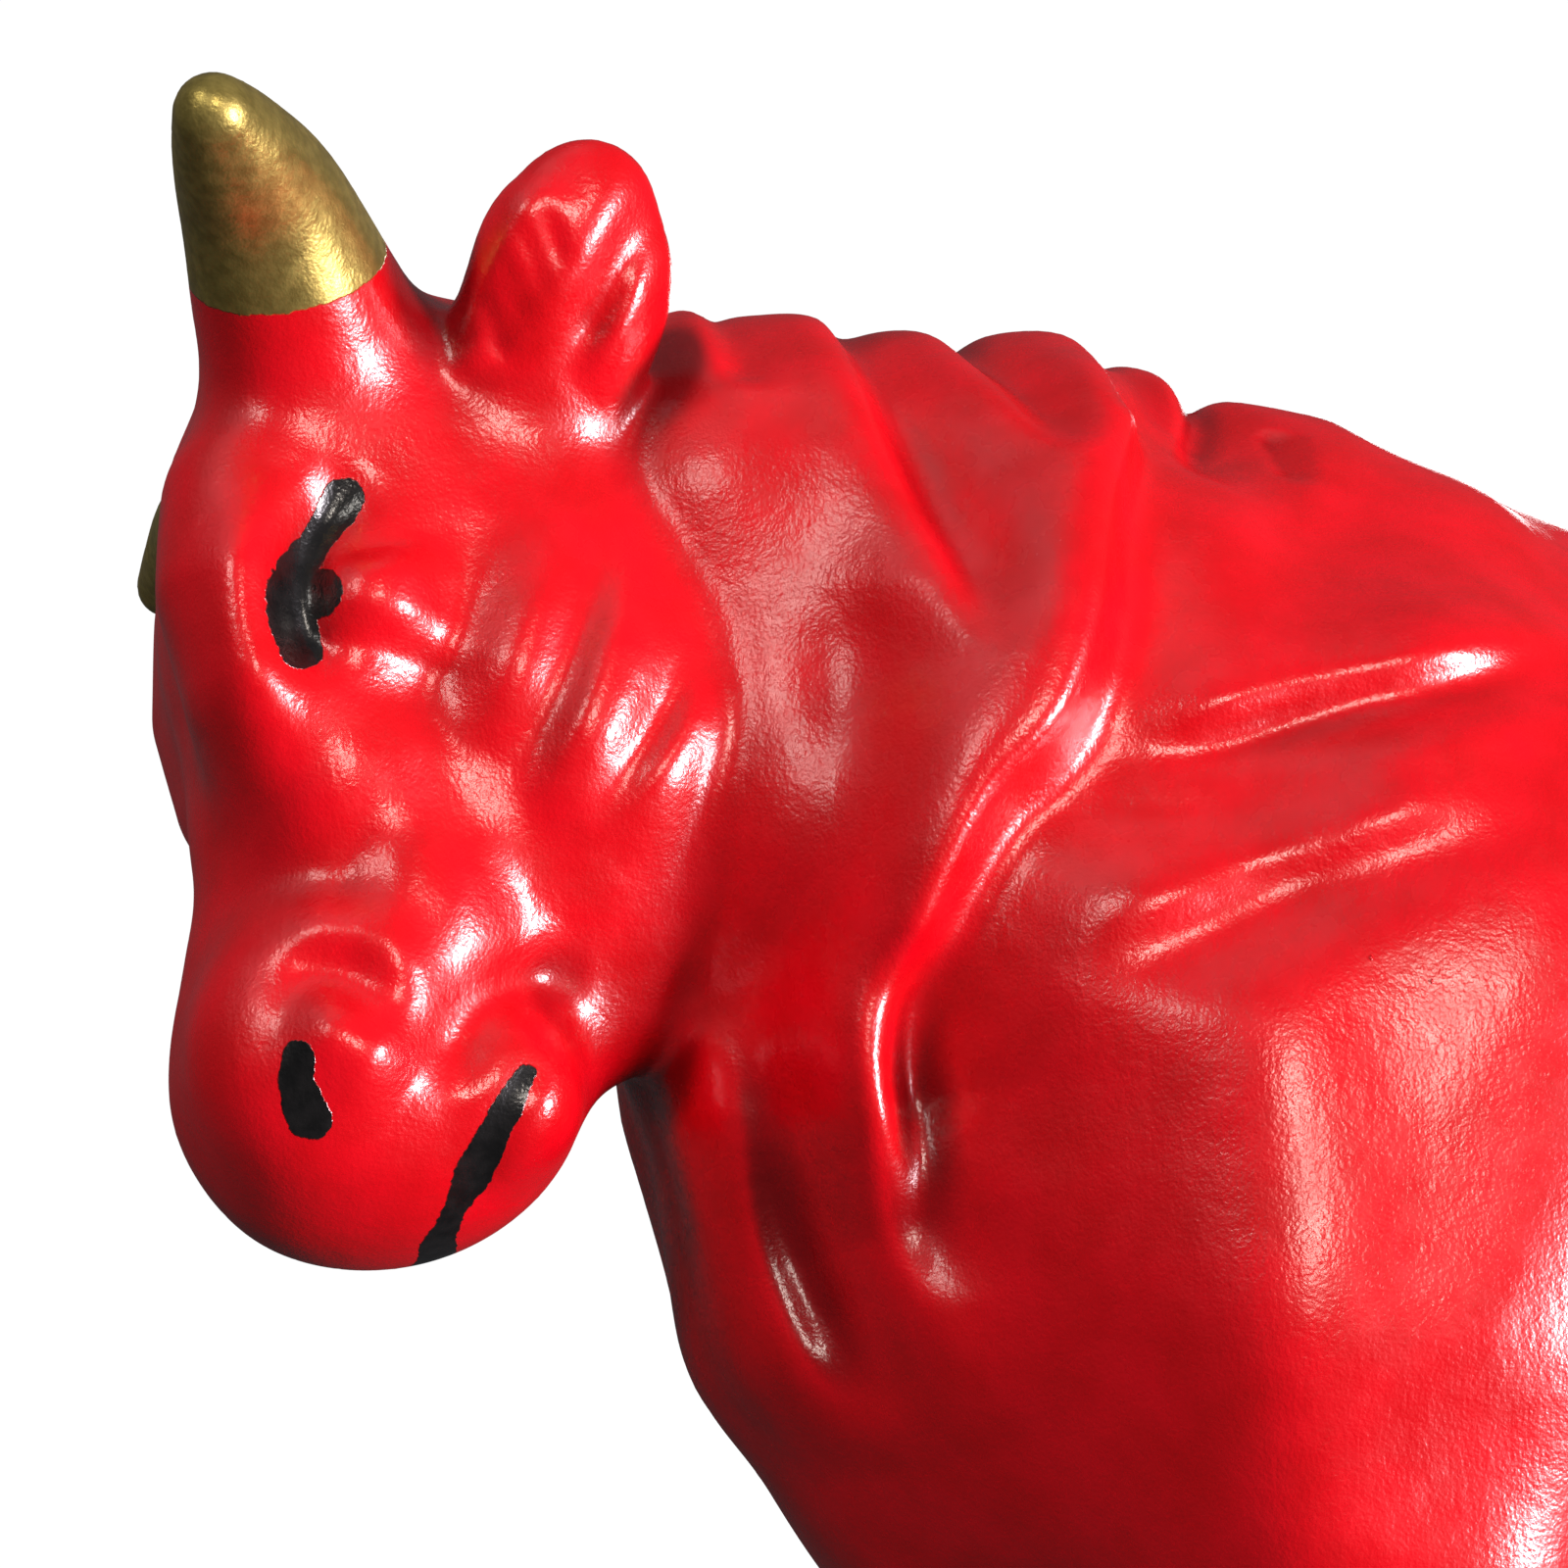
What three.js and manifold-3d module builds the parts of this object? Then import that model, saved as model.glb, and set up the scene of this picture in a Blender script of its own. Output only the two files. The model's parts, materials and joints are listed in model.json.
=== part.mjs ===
// Ceramic bull figurine: a hollow trunk, neck and head with horns, ears, legs and a tail luted on.
// Millimetres, +Z up. The bull faces -X, its left side is -Y, and its hooves stand on Z = 0.
import * as THREE from "three";
import { mergeVertices } from "three/addons/utils/BufferGeometryUtils.js";
import Module from "manifold-3d";

// Fired clay and joints
const WALL = 5;
const LUTE_GAP = 0.3; // slip film between two luted faces

// Trunk, as three overlapping masses along X
const BELLY_HEIGHT = 55;
const TRUNK_WIDTH = 85;
const SHOULDER_X = -20;
const SHOULDER_TOP = 145;
const SHOULDER_LENGTH = 72;
const BARREL_X = 34;
const BARREL_TOP = 134;
const BARREL_LENGTH = 124;
const RUMP_X = 84;
const RUMP_TOP = 137;
const RUMP_LENGTH = 66;
const RUMP_WIDTH = 74;
const VENT_X = 30;
const VENT_DIAMETER = 14;

// Neck, crest and dewlap
const NECK_X = -47;
const NECK_TOP = 157;
const NECK_LENGTH = 59;
const NECK_WIDTH = 64;
const NECK_DEPTH = 86;
const CREST_TOP = 158;
const CREST_RADIUS = 11.5;
const CREST_FRONT_X = -70;
const BRISKET_X = -44;
const BRISKET_LENGTH = 50;
const BRISKET_WIDTH = 56;
const BRISKET_DEPTH = 60;
const DEWLAP_RADIUS = 8.5;
const THROAT_X = -69;
const THROAT_HEIGHT = 104;

// Head, in its own frame: the face looks along -X and the poll is up
const HEAD_CENTRE = [-93, -2, 124];
const HEAD_TUCK = 5; // degrees, muzzle drawn in to the chest
const HEAD_ROLL = 13.4; // degrees, left side raised
const CRANIUM_LENGTH = 41;
const CRANIUM_WIDTH = 33;
const CRANIUM_HEIGHT = 42;
const CRANIUM_RISE = 15;
const JAW_LENGTH = 34;
const JAW_WIDTH = 34;
const JAW_HEIGHT = 39;
const JAW_SETBACK = 9;
const BRIDGE_RADIUS = 11.5;
const MUZZLE_LENGTH = 29.6;
const MUZZLE_WIDTH = 26;
const MUZZLE_HEIGHT = 27;
const MUZZLE_DROP = 26.5;
const MUZZLE_FORWARD = 7;
const JAW_EDGE = 26.5; // rear edge of the jaw, behind the middle of the head
const JAW_CORNER = 14; // the same, under the throat
const NOSTRIL_SPACING = 15;
const BROW_SPACING = 25;
const BROW_RADIUS = 5;
const EYE_SPACING = 24;
const EYE_WIDTH = 11;

// Horns and ears, in the head's frame
const HORN_ROOT_RADIUS = 10.5;
const HORN_TIP_RADIUS = 3;
const HORN_SPAN = 69; // tip to tip, across the head
const HORN_TIP_HEIGHT = 31;
const HORN_SEAT = 13; // distance of the luted face from the middle of the head
const EAR_WIDTH = 15;
const EAR_LENGTH = 23;
const EAR_THICKNESS = 8.4;
const EAR_SPREAD = 20; // middle of the ear from the middle of the head
const EAR_HEIGHT = 28;
const EAR_LEAN = 40; // degrees from upright

// Legs and hooves
const LEG_ROOT_DROP = 2; // the legs are luted on just under the belly
const FORELEG_X = -30;
const HINDLEG_X = 86;
const LEG_TRACK = 50; // across, hoof to hoof
const KNEE_HEIGHT = 34;
const HOCK_HEIGHT = 36;
const HOCK_SETBACK = 7;
const FETLOCK_HEIGHT = 14;
const FORELEG_RADIUS = 13;
const HINDLEG_RADIUS = 15.5;
const SHANK_RADIUS = 9;
const HOOF_RADIUS = 11;
const HOOF_HEIGHT = 14;
const CLEFT_WIDTH = 2.5;

// Tail
const TAIL_RADIUS = 4.2;
const TUFT_RADIUS = 6.5;
const TUFT_LENGTH = 20;
const TAIL_LENGTH = 62;

// Faceting: the edge of a skin cell on each member
const CELL_TRUNK = 7;
const CELL_NECK = 5.4;
const CELL_HEAD = 4;
const CELL_LIMB = 4.6;
const CELL_SMALL = 3.2;
const CELL_HOLLOW = 10;
const MARGIN = 12; // room round a member where its skin is drawn
const LIMB_REACH = 34; // the same, before and behind a leg

const RED = { color: 0xe0141c, roughness: 0.32, metalness: 0 };
const GOLD = { color: 0xa8882e, roughness: 0.38, metalness: 0.8 };

const wasm = await Module();
wasm.setup();

const vector = (x, y, z) => new THREE.Vector3(x, y, z);
const degrees = THREE.MathUtils.degToRad;

// Fields: a field gives a point's distance from a surface, negative inside.

// An ellipsoid of a full size [length, width, height] about a centre.
function ball(centre, size, turn = new THREE.Euler()) {
  const back = new THREE.Matrix4().makeRotationFromEuler(turn).setPosition(...centre).invert();
  const radii = vector(...size).multiplyScalar(0.5);
  return (point) => {
    const local = point.clone().applyMatrix4(back).divide(radii);
    const reach = local.length();
    const steep = local.divide(radii).length();
    return (reach * (reach - 1)) / Math.max(steep, 1e-6);
  };
}

// An ellipsoid on the middle plane, given by its lowest and highest points.
function mass(x, bottom, top, length, width) {
  return ball([x, 0, (bottom + top) / 2], [length, width, top - bottom]);
}

// A chain of round stations [x, y, z, radius].
function limb(stations, soft = 0) {
  const bones = stations.slice(1).map((end, i) => {
    const from = vector(...stations[i]);
    const along = vector(...end).sub(from);
    return { from, along, radius: stations[i][3], swell: end[3] - stations[i][3] };
  });
  return (point) =>
    bones.reduce((nearest, { from, along, radius, swell }) => {
      const offset = point.clone().sub(from);
      const share = THREE.MathUtils.clamp(offset.dot(along) / along.lengthSq(), 0, 1);
      const gap = offset.addScaledVector(along, -share).length() - radius - swell * share;
      return soften(nearest, gap, soft);
    }, Infinity);
}

// The lower of two distances, rounded over where the surfaces meet.
function soften(a, b, soft) {
  const near = soft > 0 && Number.isFinite(a) ? Math.max(soft - Math.abs(a - b), 0) / soft : 0;
  return Math.min(a, b) - near * near * soft * 0.25;
}

function blend(soft, ...fields) {
  return (point) => fields.reduce((nearest, field) => soften(nearest, field(point), soft), Infinity);
}

// The same field on both sides of the middle plane; it is drawn on the +Y side.
function mirrored(field) {
  return (point) => field(vector(point.x, Math.abs(point.y), point.z));
}

// Folds of hide, drawn in the side view as smooth lines of [x, z] points.
function fold(points, height, width, wraps = false) {
  const line = new THREE.SplineCurve(points.map(([x, z]) => new THREE.Vector2(x, z))).getPoints(24);
  return (point) => {
    const spot = new THREE.Vector2(point.x, point.z);
    const reach = Math.min(...line.map((mark) => mark.distanceTo(spot)));
    const side = wraps ? 1 : THREE.MathUtils.smoothstep(Math.abs(point.y), 3, 10);
    return height * side * Math.exp(-((reach / width) ** 2));
  };
}

// Trunk and neck
const trunkField = blend(
  15,
  mass(SHOULDER_X, BELLY_HEIGHT, SHOULDER_TOP, SHOULDER_LENGTH, TRUNK_WIDTH),
  mass(BARREL_X, BELLY_HEIGHT, BARREL_TOP, BARREL_LENGTH, TRUNK_WIDTH),
  mass(RUMP_X, BELLY_HEIGHT, RUMP_TOP, RUMP_LENGTH, RUMP_WIDTH),
  mass(BRISKET_X, BELLY_HEIGHT, BELLY_HEIGHT + BRISKET_DEPTH, BRISKET_LENGTH, BRISKET_WIDTH),
  limb([
    [SHOULDER_X - 6, 0, SHOULDER_TOP - 9, CREST_RADIUS + 3],
    [SHOULDER_X + 26, 0, SHOULDER_TOP - 16, CREST_RADIUS + 3],
  ]),
);
const crestLine = limb([
  [CREST_FRONT_X, 0, CREST_TOP - CREST_RADIUS, CREST_RADIUS - 1],
  [SHOULDER_X - 30, 0, CREST_TOP - CREST_RADIUS, CREST_RADIUS],
  [SHOULDER_X - 6, 0, CREST_TOP - CREST_RADIUS - 4, CREST_RADIUS],
]);
const nape = limb([
  [HEAD_CENTRE[0] + 25, 0, HEAD_CENTRE[2] + 16, JAW_WIDTH / 2],
  [HEAD_CENTRE[0] + 23, 0, HEAD_CENTRE[2] - 4, JAW_WIDTH / 2 - 1],
]);
const dewlap = limb(
  [
    [THROAT_X + 1, 0, THROAT_HEIGHT - 1, DEWLAP_RADIUS - 1.5],
    [THROAT_X + 5, 0, THROAT_HEIGHT - 24, DEWLAP_RADIUS + 0.5],
    [BRISKET_X - 8, 0, BELLY_HEIGHT + DEWLAP_RADIUS + 4.5, DEWLAP_RADIUS + 3.5],
  ],
  4,
);
const neckField = blend(
  12,
  mass(NECK_X, NECK_TOP - NECK_DEPTH, NECK_TOP, NECK_LENGTH, NECK_WIDTH),
  crestLine,
  nape,
  dewlap,
);

// The fold where the neck overlaps the shoulder, from the crest down to the brisket
const SHOULDER_FOLD = [
  [-38.5, 159],
  [-42.5, 152],
  [-49, 139],
  [-51.5, 130],
  [-55, 122.5],
  [-60, 117],
  [-63.5, 110],
  [-65.6, 101],
  [-65, 94.5],
  [-62, 88],
];
const hideFolds = [
  fold(SHOULDER_FOLD.map(([x, z]) => [x - 1, z]), 2, 3.5),
  fold(SHOULDER_FOLD.map(([x, z]) => [x + 3, z - 1.5]), -1.6, 3),
  fold([[-76, 105], [-72, 92], [-65.5, 80], [-56, 67]], 2, 3.2),
  fold([[-68.6, 99], [-66.5, 86], [-57, 73]], 1.5, 2.8),
  fold([[-60, 162], [-62.5, 147], [-60, 130]], -1.6, 2.6, true),
  fold([[-49, 162], [-46.5, 150], [-47, 142]], -1.4, 2.6, true),
  fold([[-28, 161], [-32, 149]], -1.2, 3, true),
];

// Head and what it carries, in the head's own frame
const browSide = BROW_SPACING / 2;
const brow = limb([
  [-14.5, browSide, 14, BROW_RADIUS],
  [-15.5, browSide + 0.5, 7, BROW_RADIUS],
  [-14.4, browSide, 0, BROW_RADIUS - 0.5],
  [-10, browSide - 1.5, -7, BROW_RADIUS - 1.5],
]);
const headField = blend(
  5,
  ball([2.5, 0, CRANIUM_RISE], [CRANIUM_LENGTH, CRANIUM_WIDTH, CRANIUM_HEIGHT]),
  mirrored(ball([JAW_SETBACK, 5, 0], [JAW_LENGTH, JAW_WIDTH - 10, JAW_HEIGHT])),
  limb([
    [-3, 0, CRANIUM_RISE + 3, BRIDGE_RADIUS + 3.5],
    [-6.5, 0, -6, BRIDGE_RADIUS],
    [-4.5, 0, -14, BRIDGE_RADIUS],
  ]),
  ball([JAW_SETBACK, 0, -14], [28, 19, 28]),
  ball([-MUZZLE_FORWARD, 0, -MUZZLE_DROP], [MUZZLE_LENGTH, MUZZLE_WIDTH, MUZZLE_HEIGHT]),
  mirrored(brow),
  mirrored(ball([-6.5, EYE_SPACING / 2, 4], [EYE_WIDTH, 9, EYE_WIDTH + 1])),
  mirrored(ball([-12, NOSTRIL_SPACING / 2, 1 - MUZZLE_DROP], [16, 12, 18])),
);
const hornTip = [-17, HORN_SPAN / 2, HORN_TIP_HEIGHT];
const hornRoot = [-4, 6, 21];
const hornTaper = (share) => THREE.MathUtils.lerp(HORN_ROOT_RADIUS, HORN_TIP_RADIUS, share);
const hornField = limb(
  [
    [...hornRoot, hornTaper(0)],
    [-8.5, HORN_SEAT + 2, 26.5, hornTaper(0.25)],
    [-11.5, HORN_SPAN / 2 - 11, HORN_TIP_HEIGHT, hornTaper(0.52)],
    [-14.5, HORN_SPAN / 2 - 4, HORN_TIP_HEIGHT + 0.6, hornTaper(0.79)],
    [...hornTip, hornTaper(1)],
  ],
  3,
);
const earTurn = new THREE.Euler(-degrees(EAR_LEAN), degrees(10), 0);
const earField = ball([10.5, EAR_SPREAD, EAR_HEIGHT], [EAR_WIDTH, EAR_THICKNESS, EAR_LENGTH], earTurn);
const dressedHead = blend(5, headField, mirrored(hornField), mirrored(earField));

const headPose = new THREE.Matrix4()
  .makeRotationFromEuler(new THREE.Euler(-degrees(HEAD_ROLL), -degrees(HEAD_TUCK), 0, "YXZ"))
  .setPosition(...HEAD_CENTRE);
const toHead = headPose.clone().invert();
const posedHead = (point) => dressedHead(point.clone().applyMatrix4(toHead));
const bareHead = (point) => headField(point.clone().applyMatrix4(toHead));

// Legs
const legSide = LEG_TRACK / 2;
const foreleg = limb(
  [
    [FORELEG_X + 4, legSide - 1, BELLY_HEIGHT + 25, FORELEG_RADIUS + 6.5],
    [FORELEG_X, legSide, BELLY_HEIGHT - 1, FORELEG_RADIUS],
    [FORELEG_X - 1, legSide, KNEE_HEIGHT, SHANK_RADIUS + 0.5],
    [FORELEG_X, legSide, FETLOCK_HEIGHT, SHANK_RADIUS - 1],
    [FORELEG_X - 1, legSide, HOOF_HEIGHT / 2, HOOF_RADIUS - 0.5],
    [FORELEG_X - 1.5, legSide, 0, HOOF_RADIUS],
  ],
  5,
);
const hindleg = limb(
  [
    [HINDLEG_X - 2, legSide - 5, BELLY_HEIGHT + 30, HINDLEG_RADIUS + 8.5],
    [HINDLEG_X - 7, legSide, BELLY_HEIGHT + 1, HINDLEG_RADIUS],
    [HINDLEG_X + HOCK_SETBACK, legSide, HOCK_HEIGHT, SHANK_RADIUS],
    [HINDLEG_X + 2, legSide, FETLOCK_HEIGHT, SHANK_RADIUS - 1],
    [HINDLEG_X - 0.5, legSide, HOOF_HEIGHT / 2, HOOF_RADIUS - 0.5],
    [HINDLEG_X - 1, legSide, 0, HOOF_RADIUS],
  ],
  5,
);

const bodyField = blend(10, blend(6, trunkField, neckField), mirrored(foreleg), mirrored(hindleg));
const foldedBody = (point) => {
  const depth = bodyField(point);
  return Math.abs(depth) > 9 ? depth : depth - hideFolds.reduce((sum, height) => sum + height(point), 0);
};
const figureField = blend(2, foldedBody, posedHead);
const hollowField = (point) => blend(4, blend(6, trunkField, neckField), bareHead)(point) + WALL;

// Tail: hangs from the rump and lies against the left thigh, as a smooth line of round stations
const rumpEnd = RUMP_X + RUMP_LENGTH / 2;
const tailTop = RUMP_TOP - 14;
const tuftTop = tailTop - TAIL_LENGTH;
const tailLine = new THREE.CatmullRomCurve3([
  vector(rumpEnd - 8, 0, tailTop),
  vector(rumpEnd + 2, -3, tailTop - 9),
  vector(rumpEnd + 4, -13, tailTop - 0.45 * TAIL_LENGTH),
  vector(rumpEnd, -25, tailTop - 0.75 * TAIL_LENGTH),
  vector(rumpEnd - 6, -31, tuftTop),
  vector(rumpEnd - 8, -32, tuftTop - TUFT_LENGTH / 2),
  vector(rumpEnd - 7, -31, tuftTop - TUFT_LENGTH + 2),
]);
const tuftStart = 0.62;
const tailRadius = (share) => {
  const tuft = Math.max(share - tuftStart, 0) / (1 - tuftStart);
  return TAIL_RADIUS * (1 - 0.7 * tuft) + (TUFT_RADIUS - TAIL_RADIUS * 0.6) * Math.sin(Math.PI * tuft);
};
const tailSteps = 14;
const tailField = limb(
  tailLine.getPoints(tailSteps).map(({ x, y, z }, i) => [x, y, z, tailRadius(i / tailSteps)]),
  1,
);

// Solids

function solidOf(geometry) {
  geometry.deleteAttribute("normal");
  geometry.deleteAttribute("uv");
  const merged = mergeVertices(geometry, 1e-4);
  return new wasm.Manifold(
    new wasm.Mesh({
      numProp: 3,
      vertProperties: merged.attributes.position.array,
      triVerts: new Uint32Array(merged.index.array),
    }),
  );
}

function blockSolid(low, high) {
  const size = high.map((top, axis) => top - low[axis]);
  const middle = high.map((top, axis) => (top + low[axis]) / 2);
  return solidOf(new THREE.BoxGeometry(...size).translate(...middle));
}

// A grid of cells over a box, filled with a field's values and closed round its border.
function sampleGrid(field, low, high, cell) {
  const count = high.map((top, axis) => Math.ceil((top - low[axis]) / cell) + 3);
  const at = (i, j, k) => i + count[0] * (j + count[1] * k);
  const place = (...index) => vector(...index.map((step, axis) => low[axis] + (step - 1) * cell));
  const values = new Float64Array(count[0] * count[1] * count[2]);
  for (let k = 0; k < count[2]; k++)
    for (let j = 0; j < count[1]; j++)
      for (let i = 0; i < count[0]; i++) {
        const border = [i, j, k].some((index, axis) => index === 0 || index === count[axis] - 1);
        const value = border ? cell : field(place(i, j, k));
        values[at(i, j, k)] = Math.abs(value) < 1e-4 ? 1e-4 : value;
      }
  return { count, at, place, values };
}

// Fills the corner of each cell face whose corners alternate, so that the skin never touches itself.
function mendCorners({ count, at, values }, cell) {
  const pairs = [
    [[1, 0, 0], [0, 1, 0]],
    [[1, 0, 0], [0, 0, 1]],
    [[0, 1, 0], [0, 0, 1]],
  ];
  let mended = true;
  while (mended) {
    mended = false;
    for (let k = 1; k < count[2] - 2; k++)
      for (let j = 1; j < count[1] - 2; j++)
        for (let i = 1; i < count[0] - 2; i++)
          for (const [u, v] of pairs) {
            const corners = [
              at(i, j, k),
              at(i + u[0], j + u[1], k + u[2]),
              at(i + u[0] + v[0], j + u[1] + v[1], k + u[2] + v[2]),
              at(i + v[0], j + v[1], k + v[2]),
            ];
            const inside = corners.map((corner) => values[corner] < 0);
            if (inside[0] === inside[2] && inside[1] === inside[3] && inside[0] !== inside[1]) {
              values[corners[inside[0] ? 1 : 0]] = -0.1 * cell;
              mended = true;
            }
          }
  }
}

function slope(field, point) {
  const step = 0.05;
  const beside = (way, sign) => field(point.clone().addScaledVector(vector(...way), sign));
  const rise = (...way) => beside(way, 1) - beside(way, -1);
  return vector(rise(step, 0, 0), rise(0, step, 0), rise(0, 0, step)).divideScalar(2 * step);
}

// One vertex for each cell that the surface crosses, drawn onto the surface but kept in its cell.
function cellVertex(field, grid, cell, i, j, k) {
  const sum = vector(0, 0, 0);
  let crossings = 0;
  const corner = (n) => [i + (n & 1), j + ((n >> 1) & 1), k + ((n >> 2) & 1)];
  for (let n = 0; n < 8; n++)
    for (const bit of [1, 2, 4]) {
      if (n & bit) continue;
      const a = grid.values[grid.at(...corner(n))];
      const b = grid.values[grid.at(...corner(n | bit))];
      if (a < 0 === b < 0) continue;
      sum.add(grid.place(...corner(n)).lerp(grid.place(...corner(n | bit)), a / (a - b)));
      crossings++;
    }
  if (!crossings) return null;
  const start = sum.divideScalar(crossings);
  const spot = start.clone();
  for (let pass = 0; pass < 3; pass++) {
    const way = slope(field, spot);
    spot.addScaledVector(way, -field(spot) / Math.max(way.lengthSq(), 0.2));
  }
  const low = grid.place(i, j, k).addScalar(0.04 * cell);
  const high = grid.place(i + 1, j + 1, k + 1).addScalar(-0.04 * cell);
  return spot.clamp(low, high);
}

// The closed skin of a field within a box.
function skin(field, low, high, cell) {
  const grid = sampleGrid(field, low, high, cell);
  mendCorners(grid, cell);
  const { count, at, values } = grid;
  const positions = [];
  const vertexOf = new Map();
  for (let k = 0; k < count[2] - 1; k++)
    for (let j = 0; j < count[1] - 1; j++)
      for (let i = 0; i < count[0] - 1; i++) {
        const spot = cellVertex(field, grid, cell, i, j, k);
        if (!spot) continue;
        vertexOf.set(at(i, j, k), positions.length / 3);
        positions.push(spot.x, spot.y, spot.z);
      }
  const faces = [];
  const steps = [at(1, 0, 0), at(0, 1, 0), at(0, 0, 1)];
  for (let node = 0; node < values.length; node++)
    steps.forEach((step, axis) => {
      if (node + step >= values.length || values[node] < 0 === values[node + step] < 0) return;
      const u = steps[(axis + 1) % 3];
      const v = steps[(axis + 2) % 3];
      const ring = [node, node - u, node - u - v, node - v].map((index) => vertexOf.get(index));
      if (ring.includes(undefined)) return;
      if (values[node] > 0) ring.reverse();
      faces.push(ring[0], ring[1], ring[2], ring[0], ring[2], ring[3]);
    });
  const geometry = new THREE.BufferGeometry();
  geometry.setAttribute("position", new THREE.Float32BufferAttribute(positions, 3));
  geometry.setIndex(faces);
  return solidOf(geometry);
}

// A block across the whole width behind a joint line drawn in the side view.
function behind(line, far, shift) {
  const shape = new THREE.Shape(line.map(([x, z]) => new THREE.Vector2(x + shift, z)));
  far.forEach(([x, z]) => shape.lineTo(x, z));
  const across = 4 * TRUNK_WIDTH;
  const geometry = new THREE.ExtrudeGeometry(shape, { depth: across, bevelEnabled: false });
  return solidOf(geometry.rotateX(Math.PI / 2).translate(0, across / 2, 0));
}

const smoothLine = (points, steps) =>
  new THREE.SplineCurve(points.map(([x, z]) => new THREE.Vector2(x, z)))
    .getPoints(steps)
    .map(({ x, y }) => [x, y]);

const headReach = HORN_TIP_HEIGHT + HORN_SPAN / 4; // the furthest that the head and horns rise or drop

// Joint lines in the side view. Everything behind the jaw line is neck, and behind the fold line trunk.
const jawLine = smoothLine(
  [
    [HEAD_CENTRE[0] + JAW_EDGE - 4.5, HEAD_CENTRE[2] + headReach + MARGIN],
    [HEAD_CENTRE[0] + JAW_EDGE - 2.5, HEAD_CENTRE[2] + headReach - 14],
    [HEAD_CENTRE[0] + JAW_EDGE, HEAD_CENTRE[2] + 14],
    [HEAD_CENTRE[0] + JAW_EDGE - 0.5, HEAD_CENTRE[2] - 3],
    [HEAD_CENTRE[0] + JAW_EDGE - 4.5, HEAD_CENTRE[2] - 16],
    [HEAD_CENTRE[0] + JAW_CORNER, HEAD_CENTRE[2] - 25],
    [HEAD_CENTRE[0] + JAW_CORNER, HEAD_CENTRE[2] - headReach],
    [HEAD_CENTRE[0] + JAW_CORNER, BELLY_HEIGHT - MARGIN],
  ],
  25,
);
const foldLine = smoothLine(
  [
    [SHOULDER_FOLD[0][0] + 8, SHOULDER_FOLD[0][1] + 20],
    ...SHOULDER_FOLD.map(([x, z]) => [x + 1.5, z]),
    [BRISKET_X - 10, BELLY_HEIGHT + 16],
    [BRISKET_X + 2, BELLY_HEIGHT - 12],
  ],
  30,
);
const FAR = 400;
const aft = (line) => [
  [FAR, line[line.length - 1][1]],
  [FAR, line[0][1]],
];
const neckAndBehind = behind(jawLine, aft(jawLine), LUTE_GAP / 2);
const headLimit = behind(jawLine, aft(jawLine), -LUTE_GAP / 2);
const trunkAndBehind = behind(foldLine, aft(foldLine), LUTE_GAP);
const neckLimit = behind(foldLine, aft(foldLine), -LUTE_GAP);

// A round block about a member's axis, from its luted face outwards, grown all round where asked.
function memberBlock(root, tip, width, grow) {
  const radius = width / 2 + grow;
  const from = vector(...root);
  const axis = vector(...tip).sub(from).normalize();
  const reach = vector(...tip).distanceTo(from) * 2 + radius;
  const turn = new THREE.Quaternion().setFromUnitVectors(vector(0, 1, 0), axis);
  const geometry = new THREE.CylinderGeometry(radius, radius, reach, 40)
    .translate(0, reach / 2 - grow, 0)
    .applyQuaternion(turn)
    .translate(...root);
  return solidOf(geometry.applyMatrix4(headPose));
}

const sides = { left: -1, right: 1 };
const onSide = ([x, y, z], side) => [x, y * side, z];
const hornSeat = [-7.5, HORN_SEAT, 25.5];
const earSeat = [9, EAR_SPREAD - 5.5, EAR_HEIGHT - 5.5];
const earTip = [12, EAR_SPREAD + 6, EAR_HEIGHT + 8];
const hornBlock = (side, grow) =>
  memberBlock(onSide(hornSeat, side), onSide(hornTip, side), 2 * HORN_ROOT_RADIUS, grow);
const earBlock = (side, grow) =>
  memberBlock(onSide(earSeat, side), onSide(earTip, side), 1.2 * EAR_WIDTH, grow);

// Each member, cut from the one figure
const reachX = [HEAD_CENTRE[0] - CRANIUM_LENGTH / 2 - MARGIN, RUMP_X + RUMP_LENGTH / 2 + MARGIN];
const halfWidth = TRUNK_WIDTH / 2 + 8;
const legTop = BELLY_HEIGHT - LEG_ROOT_DROP;
const neckTop = CREST_TOP + 8;
const aboveLegs = blockSolid([-FAR, -FAR, legTop + LUTE_GAP / 2], [FAR, FAR, FAR]);
const hollow = skin(
  hollowField,
  [HEAD_CENTRE[0] - 24, -halfWidth, BELLY_HEIGHT],
  [reachX[1], halfWidth, CREST_TOP],
  CELL_HOLLOW,
);
const vent = solidOf(
  new THREE.CylinderGeometry(VENT_DIAMETER / 2, VENT_DIAMETER / 2, 4 * WALL, 32)
    .rotateX(Math.PI / 2)
    .translate(VENT_X, 0, BELLY_HEIGHT + WALL),
);

const pieces = new Map();
pieces.set(
  "trunk",
  skin(figureField, [THROAT_X - 4, -halfWidth, legTop - 8], [reachX[1], halfWidth, CREST_TOP + 6], CELL_TRUNK)
    .intersect(trunkAndBehind)
    .intersect(aboveLegs)
    .subtract(hollow)
    .subtract(vent),
);
pieces.set(
  "neck",
  skin(figureField, [HEAD_CENTRE[0], -halfWidth, legTop - 6], [SHOULDER_X + 6, halfWidth, neckTop], CELL_NECK)
    .intersect(neckAndBehind)
    .subtract(neckLimit)
    .intersect(aboveLegs)
    .subtract(hollow),
);

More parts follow.
